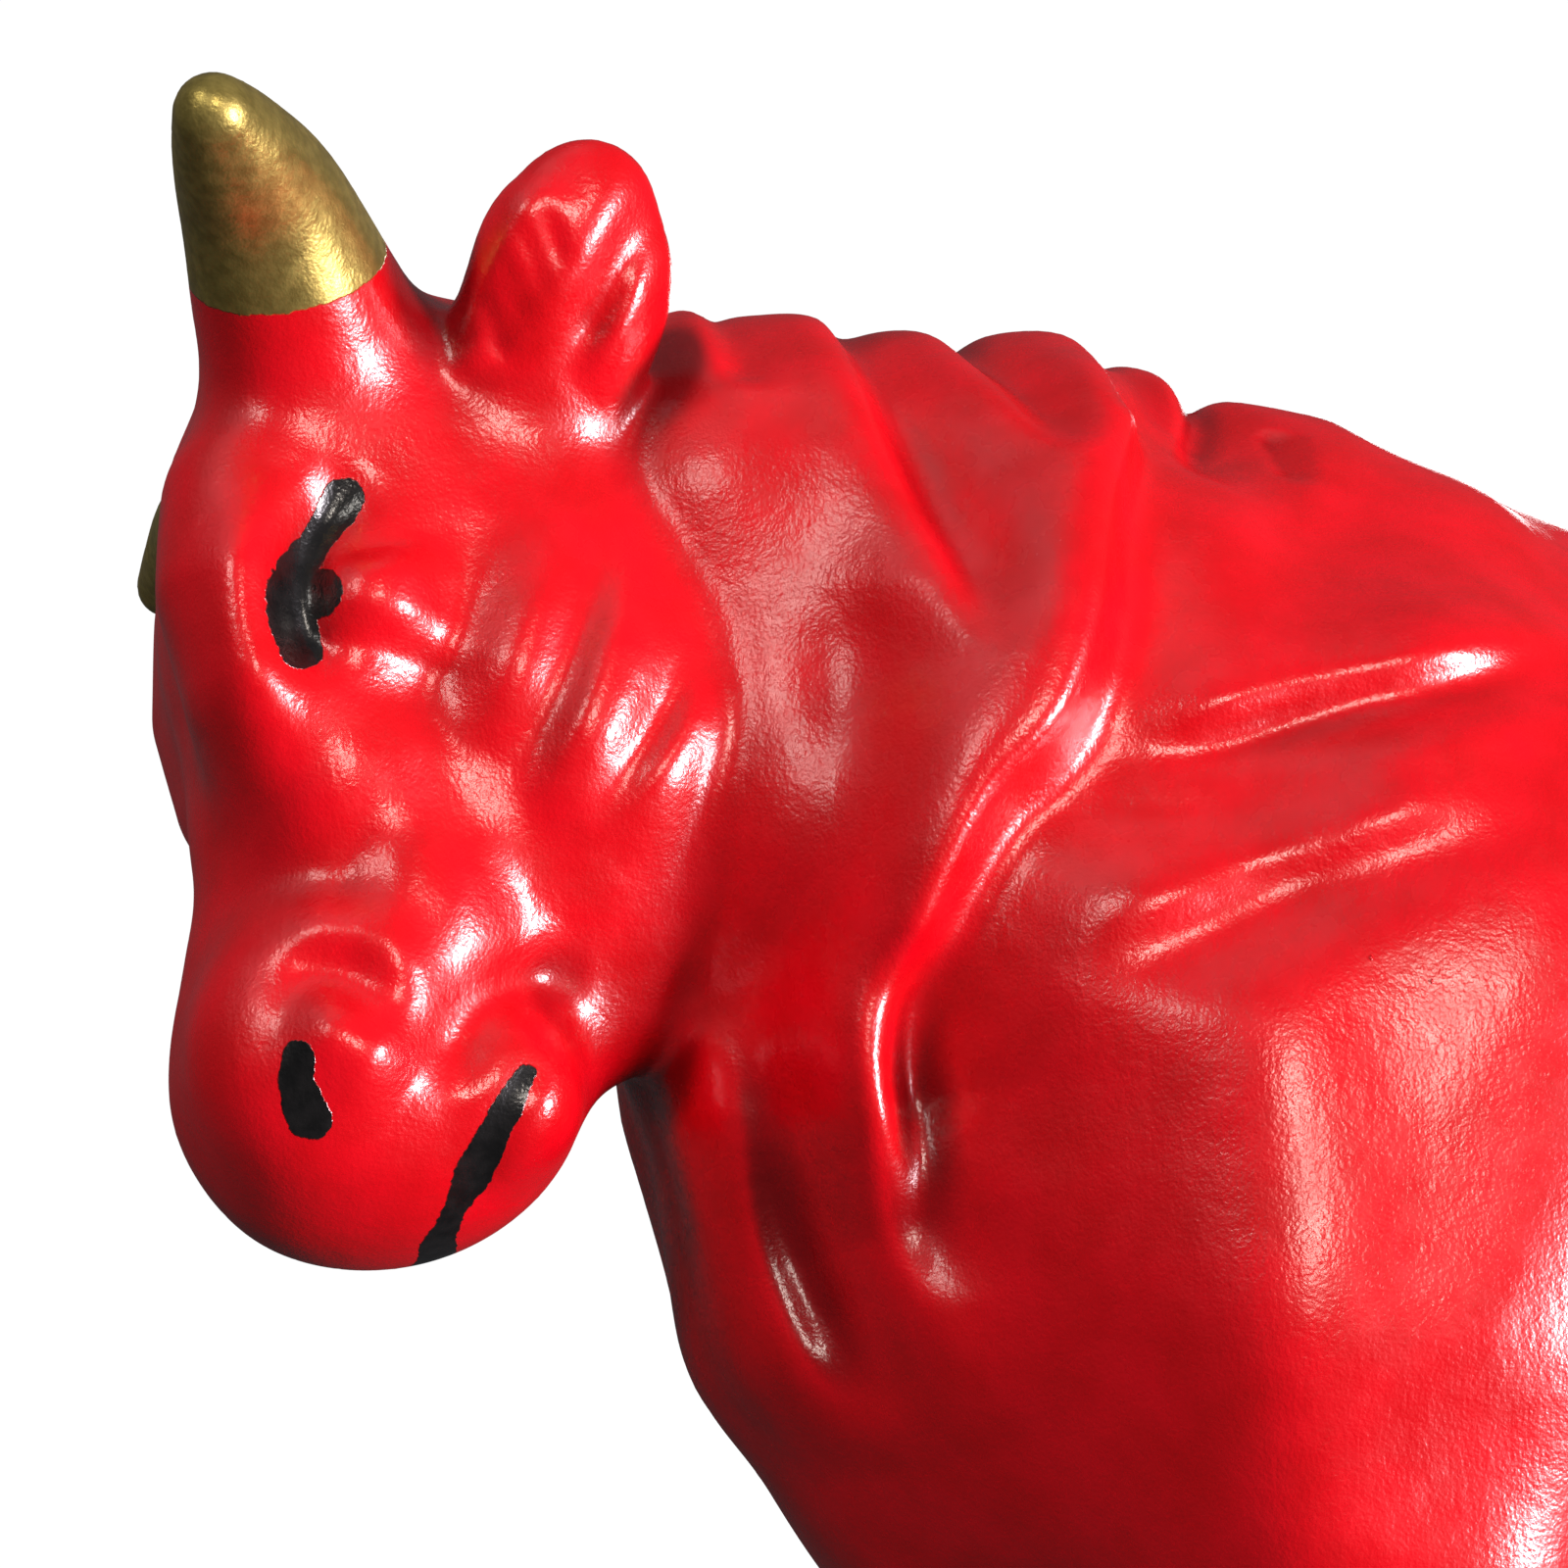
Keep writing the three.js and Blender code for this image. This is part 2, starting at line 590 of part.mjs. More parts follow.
const headLow = [reachX[0], -HORN_SPAN / 2 - MARGIN, HEAD_CENTRE[2] - headReach];
const headHigh = [HEAD_CENTRE[0] + JAW_EDGE + 8, HORN_SPAN / 2 + MARGIN, HEAD_CENTRE[2] + headReach + 4];
let head = skin(figureField, headLow, headHigh, CELL_HEAD).subtract(headLimit).subtract(hollow);
const fineHead = skin(
  figureField,
  [headLow[0], headLow[1], HEAD_CENTRE[2] + 8],
  headHigh,
  CELL_SMALL,
).subtract(headLimit);
for (const [name, side] of Object.entries(sides)) {
  head = head.subtract(hornBlock(side, LUTE_GAP)).subtract(earBlock(side, LUTE_GAP));
  pieces.set("horn_" + name, fineHead.intersect(hornBlock(side, 0)));
  pieces.set("ear_" + name, fineHead.intersect(earBlock(side, 0)).subtract(hornBlock(side, LUTE_GAP)));
}
pieces.set("head", head);

const standing = { foreleg: FORELEG_X, hindleg: HINDLEG_X };
for (const [member, x] of Object.entries(standing))
  for (const [name, side] of Object.entries(sides)) {
    const low = [x - LIMB_REACH, side < 0 ? -halfWidth : 0, -MARGIN];
    const high = [x + LIMB_REACH, side < 0 ? 0 : halfWidth, legTop + MARGIN];
    const cleft = blockSolid(
      [x - 2 * HOOF_RADIUS, side * legSide - CLEFT_WIDTH / 2, -1],
      [x - HOOF_RADIUS / 3, side * legSide + CLEFT_WIDTH / 2, HOOF_HEIGHT * 0.8],
    );
    pieces.set(
      member + "_" + name,
      skin(figureField, low, high, CELL_LIMB)
        .intersect(blockSolid([low[0], low[1], 0], [high[0], high[1], legTop - LUTE_GAP / 2]))
        .subtract(cleft),
    );
  }

const grownTrunk = (point) => foldedBody(point) - LUTE_GAP;
const tailLow = [rumpEnd - 20, -48, tailTop - TAIL_LENGTH - TUFT_LENGTH - 4];
const tailHigh = [rumpEnd + 14, 10, tailTop + 8];
const thigh = skin(grownTrunk, tailLow, tailHigh, CELL_SMALL);
pieces.set("tail", skin(tailField, tailLow, tailHigh, CELL_SMALL).subtract(thigh));

// The body of a cut member, without the crumbs that a cutting face leaves beside it.
function trimmed(solid) {
  return solid.decompose().reduce((most, body) => (body.volume() > most.volume() ? body : most));
}

// The scene graph: every member in its paint, centred over the origin
const group = new THREE.Group();
for (const [name, solid] of pieces) {
  const { vertProperties, triVerts } = trimmed(solid).getMesh();
  const geometry = new THREE.BufferGeometry();
  geometry.setAttribute("position", new THREE.BufferAttribute(vertProperties, 3));
  geometry.setIndex(new THREE.BufferAttribute(triVerts, 1));
  geometry.computeVertexNormals();
  const mesh = new THREE.Mesh(geometry, new THREE.MeshStandardMaterial(name.startsWith("horn") ? GOLD : RED));
  mesh.name = name;
  group.add(mesh);
}
const middle = new THREE.Box3().setFromObject(group).getCenter(vector(0, 0, 0));
group.position.set(-middle.x, -middle.y, 0);

export default group;
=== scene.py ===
"""A hollow ceramic bull, painted red with gold horns and black brush strokes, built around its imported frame.

The figure is worked out in the sculptor's own frame, in millimetres: it faces -X, its left side is -Y and
its hooves stand on Z = 0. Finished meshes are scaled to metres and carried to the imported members' place.
"""

import json
import logging
import math
from collections.abc import Callable, Sequence
from dataclasses import dataclass
from enum import Enum
from functools import reduce
from itertools import product

import bmesh
import bpy
import numpy as np
from mathutils import Matrix, Vector


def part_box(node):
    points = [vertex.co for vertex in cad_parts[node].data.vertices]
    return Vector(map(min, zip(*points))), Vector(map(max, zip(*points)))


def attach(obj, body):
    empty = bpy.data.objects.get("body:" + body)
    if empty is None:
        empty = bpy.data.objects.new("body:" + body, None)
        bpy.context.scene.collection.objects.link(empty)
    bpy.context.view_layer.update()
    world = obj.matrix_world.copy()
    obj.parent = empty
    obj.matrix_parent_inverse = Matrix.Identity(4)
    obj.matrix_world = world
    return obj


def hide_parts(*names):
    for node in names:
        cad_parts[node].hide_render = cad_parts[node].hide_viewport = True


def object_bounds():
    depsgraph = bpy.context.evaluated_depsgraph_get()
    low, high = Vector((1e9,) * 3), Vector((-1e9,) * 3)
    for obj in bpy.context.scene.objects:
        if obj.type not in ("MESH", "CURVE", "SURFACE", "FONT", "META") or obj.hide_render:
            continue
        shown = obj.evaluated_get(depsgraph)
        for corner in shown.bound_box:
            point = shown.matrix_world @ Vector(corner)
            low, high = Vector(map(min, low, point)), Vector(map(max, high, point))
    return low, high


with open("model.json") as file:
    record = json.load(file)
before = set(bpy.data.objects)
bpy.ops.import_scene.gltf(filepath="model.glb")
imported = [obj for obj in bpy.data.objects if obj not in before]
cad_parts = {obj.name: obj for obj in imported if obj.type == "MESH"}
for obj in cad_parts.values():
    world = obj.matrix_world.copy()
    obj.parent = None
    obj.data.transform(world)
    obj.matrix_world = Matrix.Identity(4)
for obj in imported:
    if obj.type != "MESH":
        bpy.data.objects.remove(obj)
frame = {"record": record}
cad_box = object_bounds()

log = logging.getLogger("bull")

MM = 0.001
FAR = 999.0  # beyond the figure on any side, in millimetres
COVER = 0.9  # how deep in the skin the paint still covers the clay, in millimetres
NO_INK = 9.0  # a distance from the ink that leaves a piece clean of it, in millimetres
CORNERS = tuple(product((0, 1), repeat=3))  # the corners of a lattice cell

Array = np.ndarray
Point = tuple[float, float, float]
Station = tuple[float, float, float, float]
Line = Sequence[tuple[float, float]]
Field = Callable[[Array], Array]
Settings = dict[str, object]
Inputs = dict[str | int, object]


class Side(Enum):
    """The bull's own left and right, as the sign of Y."""

    LEFT = -1
    RIGHT = 1


def smoothstep(low: float, high: float, value: Array) -> Array:
    """A share that rises smoothly from 0 at low to 1 at high."""
    share = np.clip((value - low) / (high - low), 0.0, 1.0)
    return share * share * (3.0 - 2.0 * share)


def lengths(rows: Array) -> Array:
    """The length of each row."""
    return np.sqrt(np.einsum("ij,ij->i", rows, rows))


def soften(first: Array, second: Array, soft: float) -> Array:
    """The lower of two distances, rounded over where the surfaces meet."""
    near = np.maximum(soft - np.abs(first - second), 0.0) / soft
    return np.minimum(first, second) - near * near * soft * 0.25


def blend(soft: float, *distances: Array) -> Array:
    """Several distances softened into one surface."""
    return reduce(lambda nearest, distance: soften(nearest, distance, soft), distances)


def mirrored(points: Array) -> Array:
    """Folds both sides of the figure onto one.

    Args:
        points: Points with their sides as the sign of Y.

    Returns:
        The points with both sides on the +Y side.
    """
    folded = points.copy()
    folded[:, 1] = np.abs(folded[:, 1])
    return folded


def turn(about_x: float, about_y: float) -> Array:
    """A rotation about X after one about Y, in degrees."""
    first = Matrix.Rotation(math.radians(about_y), 3, "Y")
    return np.array(Matrix.Rotation(math.radians(about_x), 3, "X") @ first)


def smooth_line(points: Line, steps: int) -> Array:
    """A Catmull-Rom line through points of the side view.

    Args:
        points: The points that the line passes through.
        steps: How many equal steps of the whole line's parameter to take.

    Returns:
        The points of the line, one row each.
    """
    spots = np.array(points, float)
    places = np.linspace(0.0, len(spots) - 1.0, steps + 1)
    start = np.minimum(places.astype(int), len(spots) - 2)
    t = (places - start)[:, None]
    before, a, b, after = (spots[np.clip(start + n, 0, len(spots) - 1)] for n in (-1, 0, 1, 2))
    slope_a, slope_b = (b - before) / 2, (after - a) / 2
    return (
        (2 * a - 2 * b + slope_a + slope_b) * t**3
        + (3 * b - 3 * a - 2 * slope_a - slope_b) * t**2
        + slope_a * t
        + a
    )


@dataclass(frozen=True)
class Ball:
    """An ellipsoid of clay, by its centre, its full size and its turn about X and Y."""

    centre: Point
    size: Point
    about: tuple[float, float] = (0.0, 0.0)

    def __call__(self, points: Array) -> Array:
        """Measures points against the ellipsoid.

        Args:
            points: Points in the ellipsoid's frame.

        Returns:
            The distance of each point from the surface, negative inside.
        """
        local = points - np.float32(self.centre)
        if self.about != (0.0, 0.0):
            local = local @ turn(*self.about).astype(np.float32)
        local = local / (np.float32(self.size) / 2)
        reach = lengths(local)
        steep = lengths(local / (np.float32(self.size) / 2))
        return reach * (reach - 1.0) / np.maximum(steep, 1e-6)


def mass(x: float, bottom: float, top: float, length: float, width: float) -> Ball:
    """An ellipsoid on the middle plane, by its lowest and highest points."""
    return Ball((x, 0.0, (bottom + top) / 2), (length, width, top - bottom))


@dataclass(frozen=True)
class Limb:
    """A chain of round stations (x, y, z, radius)."""

    stations: Sequence[Station]
    soft: float = 0.0

    def __call__(self, points: Array) -> Array:
        """Measures points against the chain.

        Args:
            points: Points in the chain's frame.

        Returns:
            The distance of each point from the surface, negative inside.
        """
        nearest: Array | None = None
        for start, end in zip(self.stations, self.stations[1:]):
            along = np.float32(end[:3]) - np.float32(start[:3])
            offset = points - np.float32(start[:3])
            share = np.clip(offset @ along / (along @ along), 0.0, 1.0)
            gap = lengths(offset - share[:, None] * along) - start[3] - (end[3] - start[3]) * share
            if nearest is None:
                nearest = gap
            else:
                nearest = soften(nearest, gap, self.soft) if self.soft else np.minimum(nearest, gap)
        return nearest


@dataclass(frozen=True)
class Stroke:
    """A stroke of a modelling tool in the side view: a ridge, or a groove where its height is negative."""

    line: Line
    height: float
    width: float
    fade: float = 0.25
    wraps: float = 0.0  # how much of it runs on over the middle of the back

    def reach(self) -> float:
        """How far from its line the stroke still shows."""
        return 2.6 * self.width

    def near(self, plane: Array) -> Array:
        """Finds the points that the stroke can reach.

        Args:
            plane: Points of the side view.

        Returns:
            True for each point near the line.
        """
        spots = np.array(self.line, float)
        low, high = spots.min(0) - self.reach() - 1.0, spots.max(0) + self.reach() + 1.0
        return np.all((plane > low) & (plane < high), axis=1)

    def read(self, plane: Array) -> tuple[Array, Array]:
        """Where points lie beside the line.

        Args:
            plane: Points of the side view.

        Returns:
            Each point's distance, positive on the line's right hand, and its share of the line's length.
        """
        spots = smooth_line(self.line, 5 * (len(self.line) - 1)).astype(np.float32)
        heading = np.gradient(spots, axis=0)
        best = np.full(len(plane), 1e9, np.float32)
        signed, share = best.copy(), np.zeros(len(plane), np.float32)
        for place, (start, end) in enumerate(zip(spots, spots[1:])):
            along = end - start
            offset = plane - start
            part = np.clip(offset @ along / (along @ along), 0.0, 1.0)
            beside = offset - part[:, None] * along
            gap = lengths(beside)
            closer = gap < best
            way = heading[place] + part[:, None] * (heading[place + 1] - heading[place])
            hand = np.sign(way[:, 1] * beside[:, 0] - way[:, 0] * beside[:, 1])
            best = np.where(closer, gap, best)
            signed = np.where(closer, gap * hand, signed)
            share = np.where(closer, (place + part) / (len(spots) - 1), share)
        return signed, share

    def ends(self, share: Array) -> Array:
        """How strongly the stroke shows along its line: it fades at both ends."""
        return smoothstep(0.0, self.fade, share) * smoothstep(0.0, self.fade, 1.0 - share)

    def relief(self, plane: Array) -> Array:
        """The height that the stroke adds at each point of the side view."""
        gap, share = self.read(plane)
        return self.height * np.exp(-((gap / self.width) ** 2)) * self.ends(share)


@dataclass(frozen=True)
class Lap(Stroke):
    """A fold: the hide on the right hand of the line laps over the hide on its left.

    Its height and width are those of the roll on the lapping side, which drops at the line within its edge,
    and sink and trough are the depth and width of the crease behind it.
    """

    edge: float = 0.9
    sink: float = 1.2
    trough: float = 1.6

    def reach(self) -> float:
        """How far from its line the fold still shows."""
        return 2.6 * max(self.width, self.trough) + self.edge

    def relief(self, plane: Array) -> Array:
        """Works out the fold's height.

        Args:
            plane: Points of the side view.

        Returns:
            The height that the fold adds at each point.
        """
        gap, share = self.read(plane)
        roll = self.height * np.exp(-((gap / np.where(gap > 0, self.width, self.edge)) ** 2))
        crease = self.sink * np.exp(-(((gap + self.edge + 0.5 * self.trough) / self.trough) ** 2))
        return (roll - crease) * self.ends(share)


def relief(strokes: Sequence[Stroke], plane: Array, side: Array) -> Array:
    """The height that several strokes add.

    Args:
        strokes: The strokes, drawn in one side view.
        plane: Points of that side view.
        side: How strongly each point takes a stroke that doesn't run over the back, from 0 to 1.

    Returns:
        The height at each point.
    """
    total = np.zeros(len(plane), np.float32)
    for stroke in strokes:
        near = stroke.near(plane)
        if near.any():
            share = stroke.wraps + (1.0 - stroke.wraps) * side[near]
            total[near] += stroke.relief(plane[near]) * share
    return total


@dataclass(frozen=True)
class Unevenness:
    """The slight waviness of clay that was smoothed by hand."""

    depth: float = 0.16
    wavelength: float = 17.0
    waves: int = 14
    seed: int = 11

    def __call__(self, points: Array) -> Array:
        """Sums sine waves that run in random directions.

        Args:
            points: Points of the figure.

        Returns:
            The height that the waviness adds at each point.
        """
        rng = np.random.default_rng(self.seed)
        ways = rng.normal(size=(self.waves, 3))
        spans = self.wavelength * rng.uniform(0.6, 1.7, self.waves)
        ways *= (2 * math.pi / spans / lengths(ways))[:, None]
        phases = rng.uniform(0.0, 2 * math.pi, self.waves)
        swell = np.sin(points @ ways.T.astype(np.float32) + phases.astype(np.float32)).sum(axis=1)
        return self.depth * swell / math.sqrt(self.waves)


@dataclass(frozen=True)
class Trunk:
    """Shoulder, barrel and rump, with the vent in the belly."""

    belly_height: float = 55.0
    width: float = 85.0
    shoulder_x: float = -20.0
    shoulder_top: float = 145.0
    shoulder_length: float = 72.0
    barrel_x: float = 34.0
    barrel_top: float = 134.0
    barrel_length: float = 124.0
    rump_x: float = 84.0
    rump_top: float = 137.0
    rump_length: float = 66.0
    rump_width: float = 74.0
    brisket_x: float = -44.0
    brisket_length: float = 50.0
    brisket_width: float = 56.0
    brisket_depth: float = 60.0
    withers_radius: float = 14.5
    vent_x: float = 30.0
    vent_diameter: float = 14.0
    wall: float = 5.0

    def masses(self, points: Array) -> Array:
        """Blends the trunk's plain form.

        Args:
            points: Points of the figure.

        Returns:
            The distance of each point from the form.
        """
        brisket_top = self.belly_height + self.brisket_depth
        withers = Limb((
            (self.shoulder_x - 6, 0, self.shoulder_top - 9, self.withers_radius),
            (self.shoulder_x + 26, 0, self.shoulder_top - 16, self.withers_radius),
        ))
        parts = (
            mass(self.shoulder_x, self.belly_height, self.shoulder_top, self.shoulder_length, self.width),
            mass(self.barrel_x, self.belly_height, self.barrel_top, self.barrel_length, self.width),
            mass(self.rump_x, self.belly_height, self.rump_top, self.rump_length, self.rump_width),
            mass(self.brisket_x, self.belly_height, brisket_top, self.brisket_length, self.brisket_width),
            withers,
        )
        return blend(15.0, *(part(points) for part in parts))

    def strokes(self) -> list[Stroke]:
        """Lists the wrinkles of the shoulder and flank.

        Returns:
            The wrinkles, then the ribs.
        """
        wrinkles: list[Stroke] = [
            Lap(((-12, 132), (-26.8, 128.2), (-33.5, 126.6), (-42, 124.3), (-52, 121.6)),
                1.7, 5.6, edge=2.4, sink=1.2, trough=2.6),
            Lap(((-14, 125), (-29, 121.4), (-36.3, 120.4), (-45.5, 118.8), (-54, 117.6)),
                0.5, 3.2, edge=2.2, sink=0.5, trough=2.2),
            Lap(((-20, 120.5), (-30, 117.3), (-36, 114.9), (-42.2, 112.4), (-49, 109.8), (-56, 107.4)),
                1.1, 4.8, edge=2.6, sink=0.8, trough=3.0),
            Stroke(((-46, 116), (-48, 96), (-47, 74), (-42, 48)), 2.6, 11.0),
            Stroke(((-41, 112), (-42, 98), (-43, 80), (-41, 56)), 1.5, 7.6, fade=0.35),
            Stroke(((-27, 150.5), (-28.3, 144.3)), -0.7, 1.2, wraps=1.0),
            Stroke(((-24, 152), (-16, 148), (-6, 143)), 0.5, 7.0, wraps=1.0),
            Lap(((0, 130), (-3, 112), (-9, 94), (-16, 78)), 1.0, 9.0, edge=5.0, sink=0.8, trough=5.0),
            Lap(((70, 72), (61, 84), (57, 98), (60, 116)), 1.3, 10.0, edge=5.0, sink=1.0, trough=5.5),
            Lap(((98, 96), (88, 92), (76, 88)), 0.7, 6.0, edge=4.0, sink=0.6, trough=4.5),
            Stroke(((74, 130), (84, 128)), 1.2, 6.0),
        ]
        starts = [12 + 11 * number for number in range(4)]
        ribs = [Stroke(((x, 114), (x - 4, 88)), 0.55, 3.4, fade=0.5) for x in starts]
        return wrinkles + ribs


@dataclass(frozen=True)
class Neck:
    """The folded crest, the throat and the dewlap."""

    x: float = -47.0
    top: float = 157.0
    length: float = 59.0
    width: float = 64.0
    depth: float = 86.0
    crest_top: float = 158.0
    crest_radius: float = 11.5
    crest_front_x: float = -70.0
    dewlap_radius: float = 8.5
    throat_x: float = -68.0
    throat_height: float = 104.0

    def masses(self, points: Array, trunk: Trunk, head: "Head") -> Array:
        """Blends the neck's plain form.

        Args:
            points: Points of the figure.
            trunk: The trunk that the neck grows from.
            head: The head that it carries.

        Returns:
            The distance of each point from the form.
        """
        crest_height = self.crest_top - self.crest_radius
        foot = trunk.belly_height + self.dewlap_radius + 4.5
        x, _, z = head.centre
        parts = (
            mass(self.x, self.top - self.depth, self.top, self.length, self.width),
            Limb((
                (self.crest_front_x, 0, crest_height, self.crest_radius - 1),
                (trunk.shoulder_x - 30, 0, crest_height, self.crest_radius),
                (trunk.shoulder_x - 6, 0, crest_height - 4, self.crest_radius),
            )),
            Limb((
                (x + 25, 0, z + 16, head.jaw_width / 2),
                (x + 23, 0, z - 4, head.jaw_width / 2 - 1),
            )),
            Limb((
                (self.throat_x + 1, 0, self.throat_height - 1, self.dewlap_radius - 1.5),
                (self.throat_x + 5, 0, self.throat_height - 24, self.dewlap_radius + 0.5),
                (trunk.brisket_x - 8, 0, foot, self.dewlap_radius + 3.5),
            ), soft=4.0),
        )
        return blend(12.0, *(part(points) for part in parts))

    def strokes(self) -> list[Stroke]:
        """Lists the folds of the hide, from the crest down to the dewlap.

        Returns:
            The folds and the valleys between them.
        """
        shoulder_fold = (
            (-38.5, 160), (-42, 152.5), (-46.4, 145.3), (-49.6, 138), (-51.5, 131), (-54.6, 123.2),
            (-59.3, 117.9), (-62.6, 112), (-64.8, 105.5), (-65.7, 99.5), (-64.8, 93.8), (-62, 87),
        )
        return [
            Lap(shoulder_fold, 3.1, 7.8, fade=0.12, wraps=0.1, edge=2.9, sink=2.7, trough=4.6),
            Stroke(((-63.2, 108), (-63.6, 100), (-61.6, 91), (-58.6, 82)), -1.2, 2.8),
            Lap(((-64.8, 162), (-64.8, 155), (-64.3, 147), (-62.6, 140), (-61, 134), (-59.8, 126.5)),
                1.1, 4.8, fade=0.2, wraps=0.6, edge=1.7, sink=1.7, trough=2.8),
            Lap(((-54.9, 162), (-54.9, 153.7), (-54, 148.6), (-52.4, 142.5)),
                0.7, 4.2, wraps=0.7, edge=1.7, sink=2.0, trough=2.6),
            Lap(((-43.4, 162), (-43.8, 155), (-46.2, 147.5)),
                0.2, 3.0, wraps=1.0, edge=1.4, sink=1.6, trough=2.4),
            Lap(((-33.5, 161), (-34.2, 152), (-38.6, 145.4)),
                0.3, 3.5, wraps=1.0, edge=1.4, sink=1.6, trough=2.2),
            Lap(((-74.8, 161), (-74.6, 154), (-74.4, 149)),
                0.2, 3.0, wraps=1.0, edge=1.2, sink=1.0, trough=2.0),
            Stroke(((-74, 155), (-60, 156), (-48, 155), (-38, 152), (-26, 146)),
                   -1.7, 6.0, fade=0.12, wraps=1.0),
            Stroke(((-65.5, 134), (-66.2, 120), (-69.2, 108), (-75.5, 100)), -1.5, 3.6),
            Stroke(((-76.0, 104.5), (-74.5, 96), (-73.1, 90), (-70.9, 84), (-68.2, 76.5), (-64.3, 68)),
                   1.9, 3.9),
            Stroke(((-72.4, 106), (-70.8, 97.8), (-69.6, 92), (-68.0, 86), (-65.6, 80), (-61.8, 73)),
                   -1.9, 2.4),
            Stroke(((-69.4, 107), (-67.4, 99.2), (-66.2, 92.2), (-64.4, 86), (-61.6, 79.5), (-57, 71)),
                   1.4, 3.6),
        ]


@dataclass(frozen=True)
class Horn:
    """A stubby cone that leans out and forwards, in the head's own frame."""

    root_radius: float = 9.9
    tip_radius: float = 2.3
    span: float = 69.0
    tip_height: float = 31.0
    seat: float = 13.0
    far_lean: tuple[float, float] = (0.10, 0.10)  # how far the right horn leans on, forwards and down
    gold_start: float = 8.2  # distance of the paint line from the seat, along the horn
    gold_axis: Point = (-0.20, 0.84, 0.50)

    def radius(self, share: float) -> float:
        """The radius at a share of the way from root to tip."""
        return self.root_radius + (self.tip_radius - self.root_radius) * share

    def tip(self) -> Point:
        """The middle of the round tip, on the +Y side."""
        return (-16.0, self.span / 2, self.tip_height + 0.7)

    def seat_point(self) -> Point:
        """The middle of the luted face, on the +Y side."""
        return (-7.5, self.seat, 25.5)

    def upright(self, local: Array) -> Array:
        """Folds the right horn onto the left.

        Args:
            local: Points in the head's frame.

        Returns:
            The points on the +Y side, with the right horn's lean taken out.
        """
        folded = mirrored(local)
        folded[:, [0, 2]] += np.maximum(local[:, 1:2] - self.seat, 0.0) * np.float32(self.far_lean)
        return folded

    def shape(self) -> Limb:
        """Draws the horn on the +Y side.

        Returns:
            The horn's chain of stations.
        """
        bends = (
            (-4, 6, 21, self.radius(0.0) + 0.3),
            (-8.7, self.seat + 2, 26.5, self.radius(0.25) + 0.2),
            (-12.0, self.span / 2 - 11, self.tip_height, self.radius(0.52) + 0.1),
            (-14.5, self.span / 2 - 4, self.tip_height + 0.8, self.radius(0.79) + 0.2),
            (*self.tip(), self.radius(1.0) + 0.3),
        )
        return Limb([tuple(station) for station in smooth_line(bends, 24)], soft=0.3)


@dataclass(frozen=True)
class Ear:
    """A thick, hollowed paddle behind the horn, in the head's own frame."""

    width: float = 15.1
    length: float = 22.4
    thickness: float = 8.4
    spread: float = 20.0
    height: float = 28.0
    lean: float = 40.0

    def shape(self) -> Ball:
        """The ear on the +Y side."""
        size = (self.width, self.thickness, self.length)
        return Ball((9.9, self.spread, self.height - 1.5), size, (-self.lean, 10.0))

    def seat_point(self) -> Point:
        """The middle of the luted face, on the +Y side."""
        return (9.0, self.spread - 5.5, self.height - 5.5)

    def tip(self) -> Point:
        """A point on the ear's own axis, near its tip, on the +Y side."""
        return (12.0, self.spread + 6, self.height + 8)

    def strokes(self) -> list[Stroke]:
        """Lists the ribs of hair inside the ear, its hollow and its lobes.

        Returns:
            The ribs, then the rest.
        """
        starts = ((2.9, 26.0), (4.0, 27.6), (5.3, 29.0), (6.7, 30.2))
        ribs = [((x, z), (x + 1.0, z - 2.6), (x + 1.8, z - 5.4)) for x, z in starts]
        return [Stroke(rib, -0.45, 0.75, fade=0.4) for rib in ribs] + [
            Stroke(((7.6, 32.5), (5.2, 28.0), (3.2, 22.5)), 1.1, 2.8, fade=0.4),
            Lap(((15.4, 35), (12.6, 30), (10.2, 26.2), (8.1, 23.7), (5.8, 20.6)),
                0.5, 2.8, fade=0.4, edge=1.4, sink=1.3, trough=2.0),
            Stroke(((15.6, 29.6), (13.2, 23.9), (10.7, 18.8)), 0.8, 1.5, fade=0.4),
            Stroke(((4.0, 25.0), (2.8, 22.4), (2.6, 20.0)), 0.5, 2.2, fade=0.4),
        ]


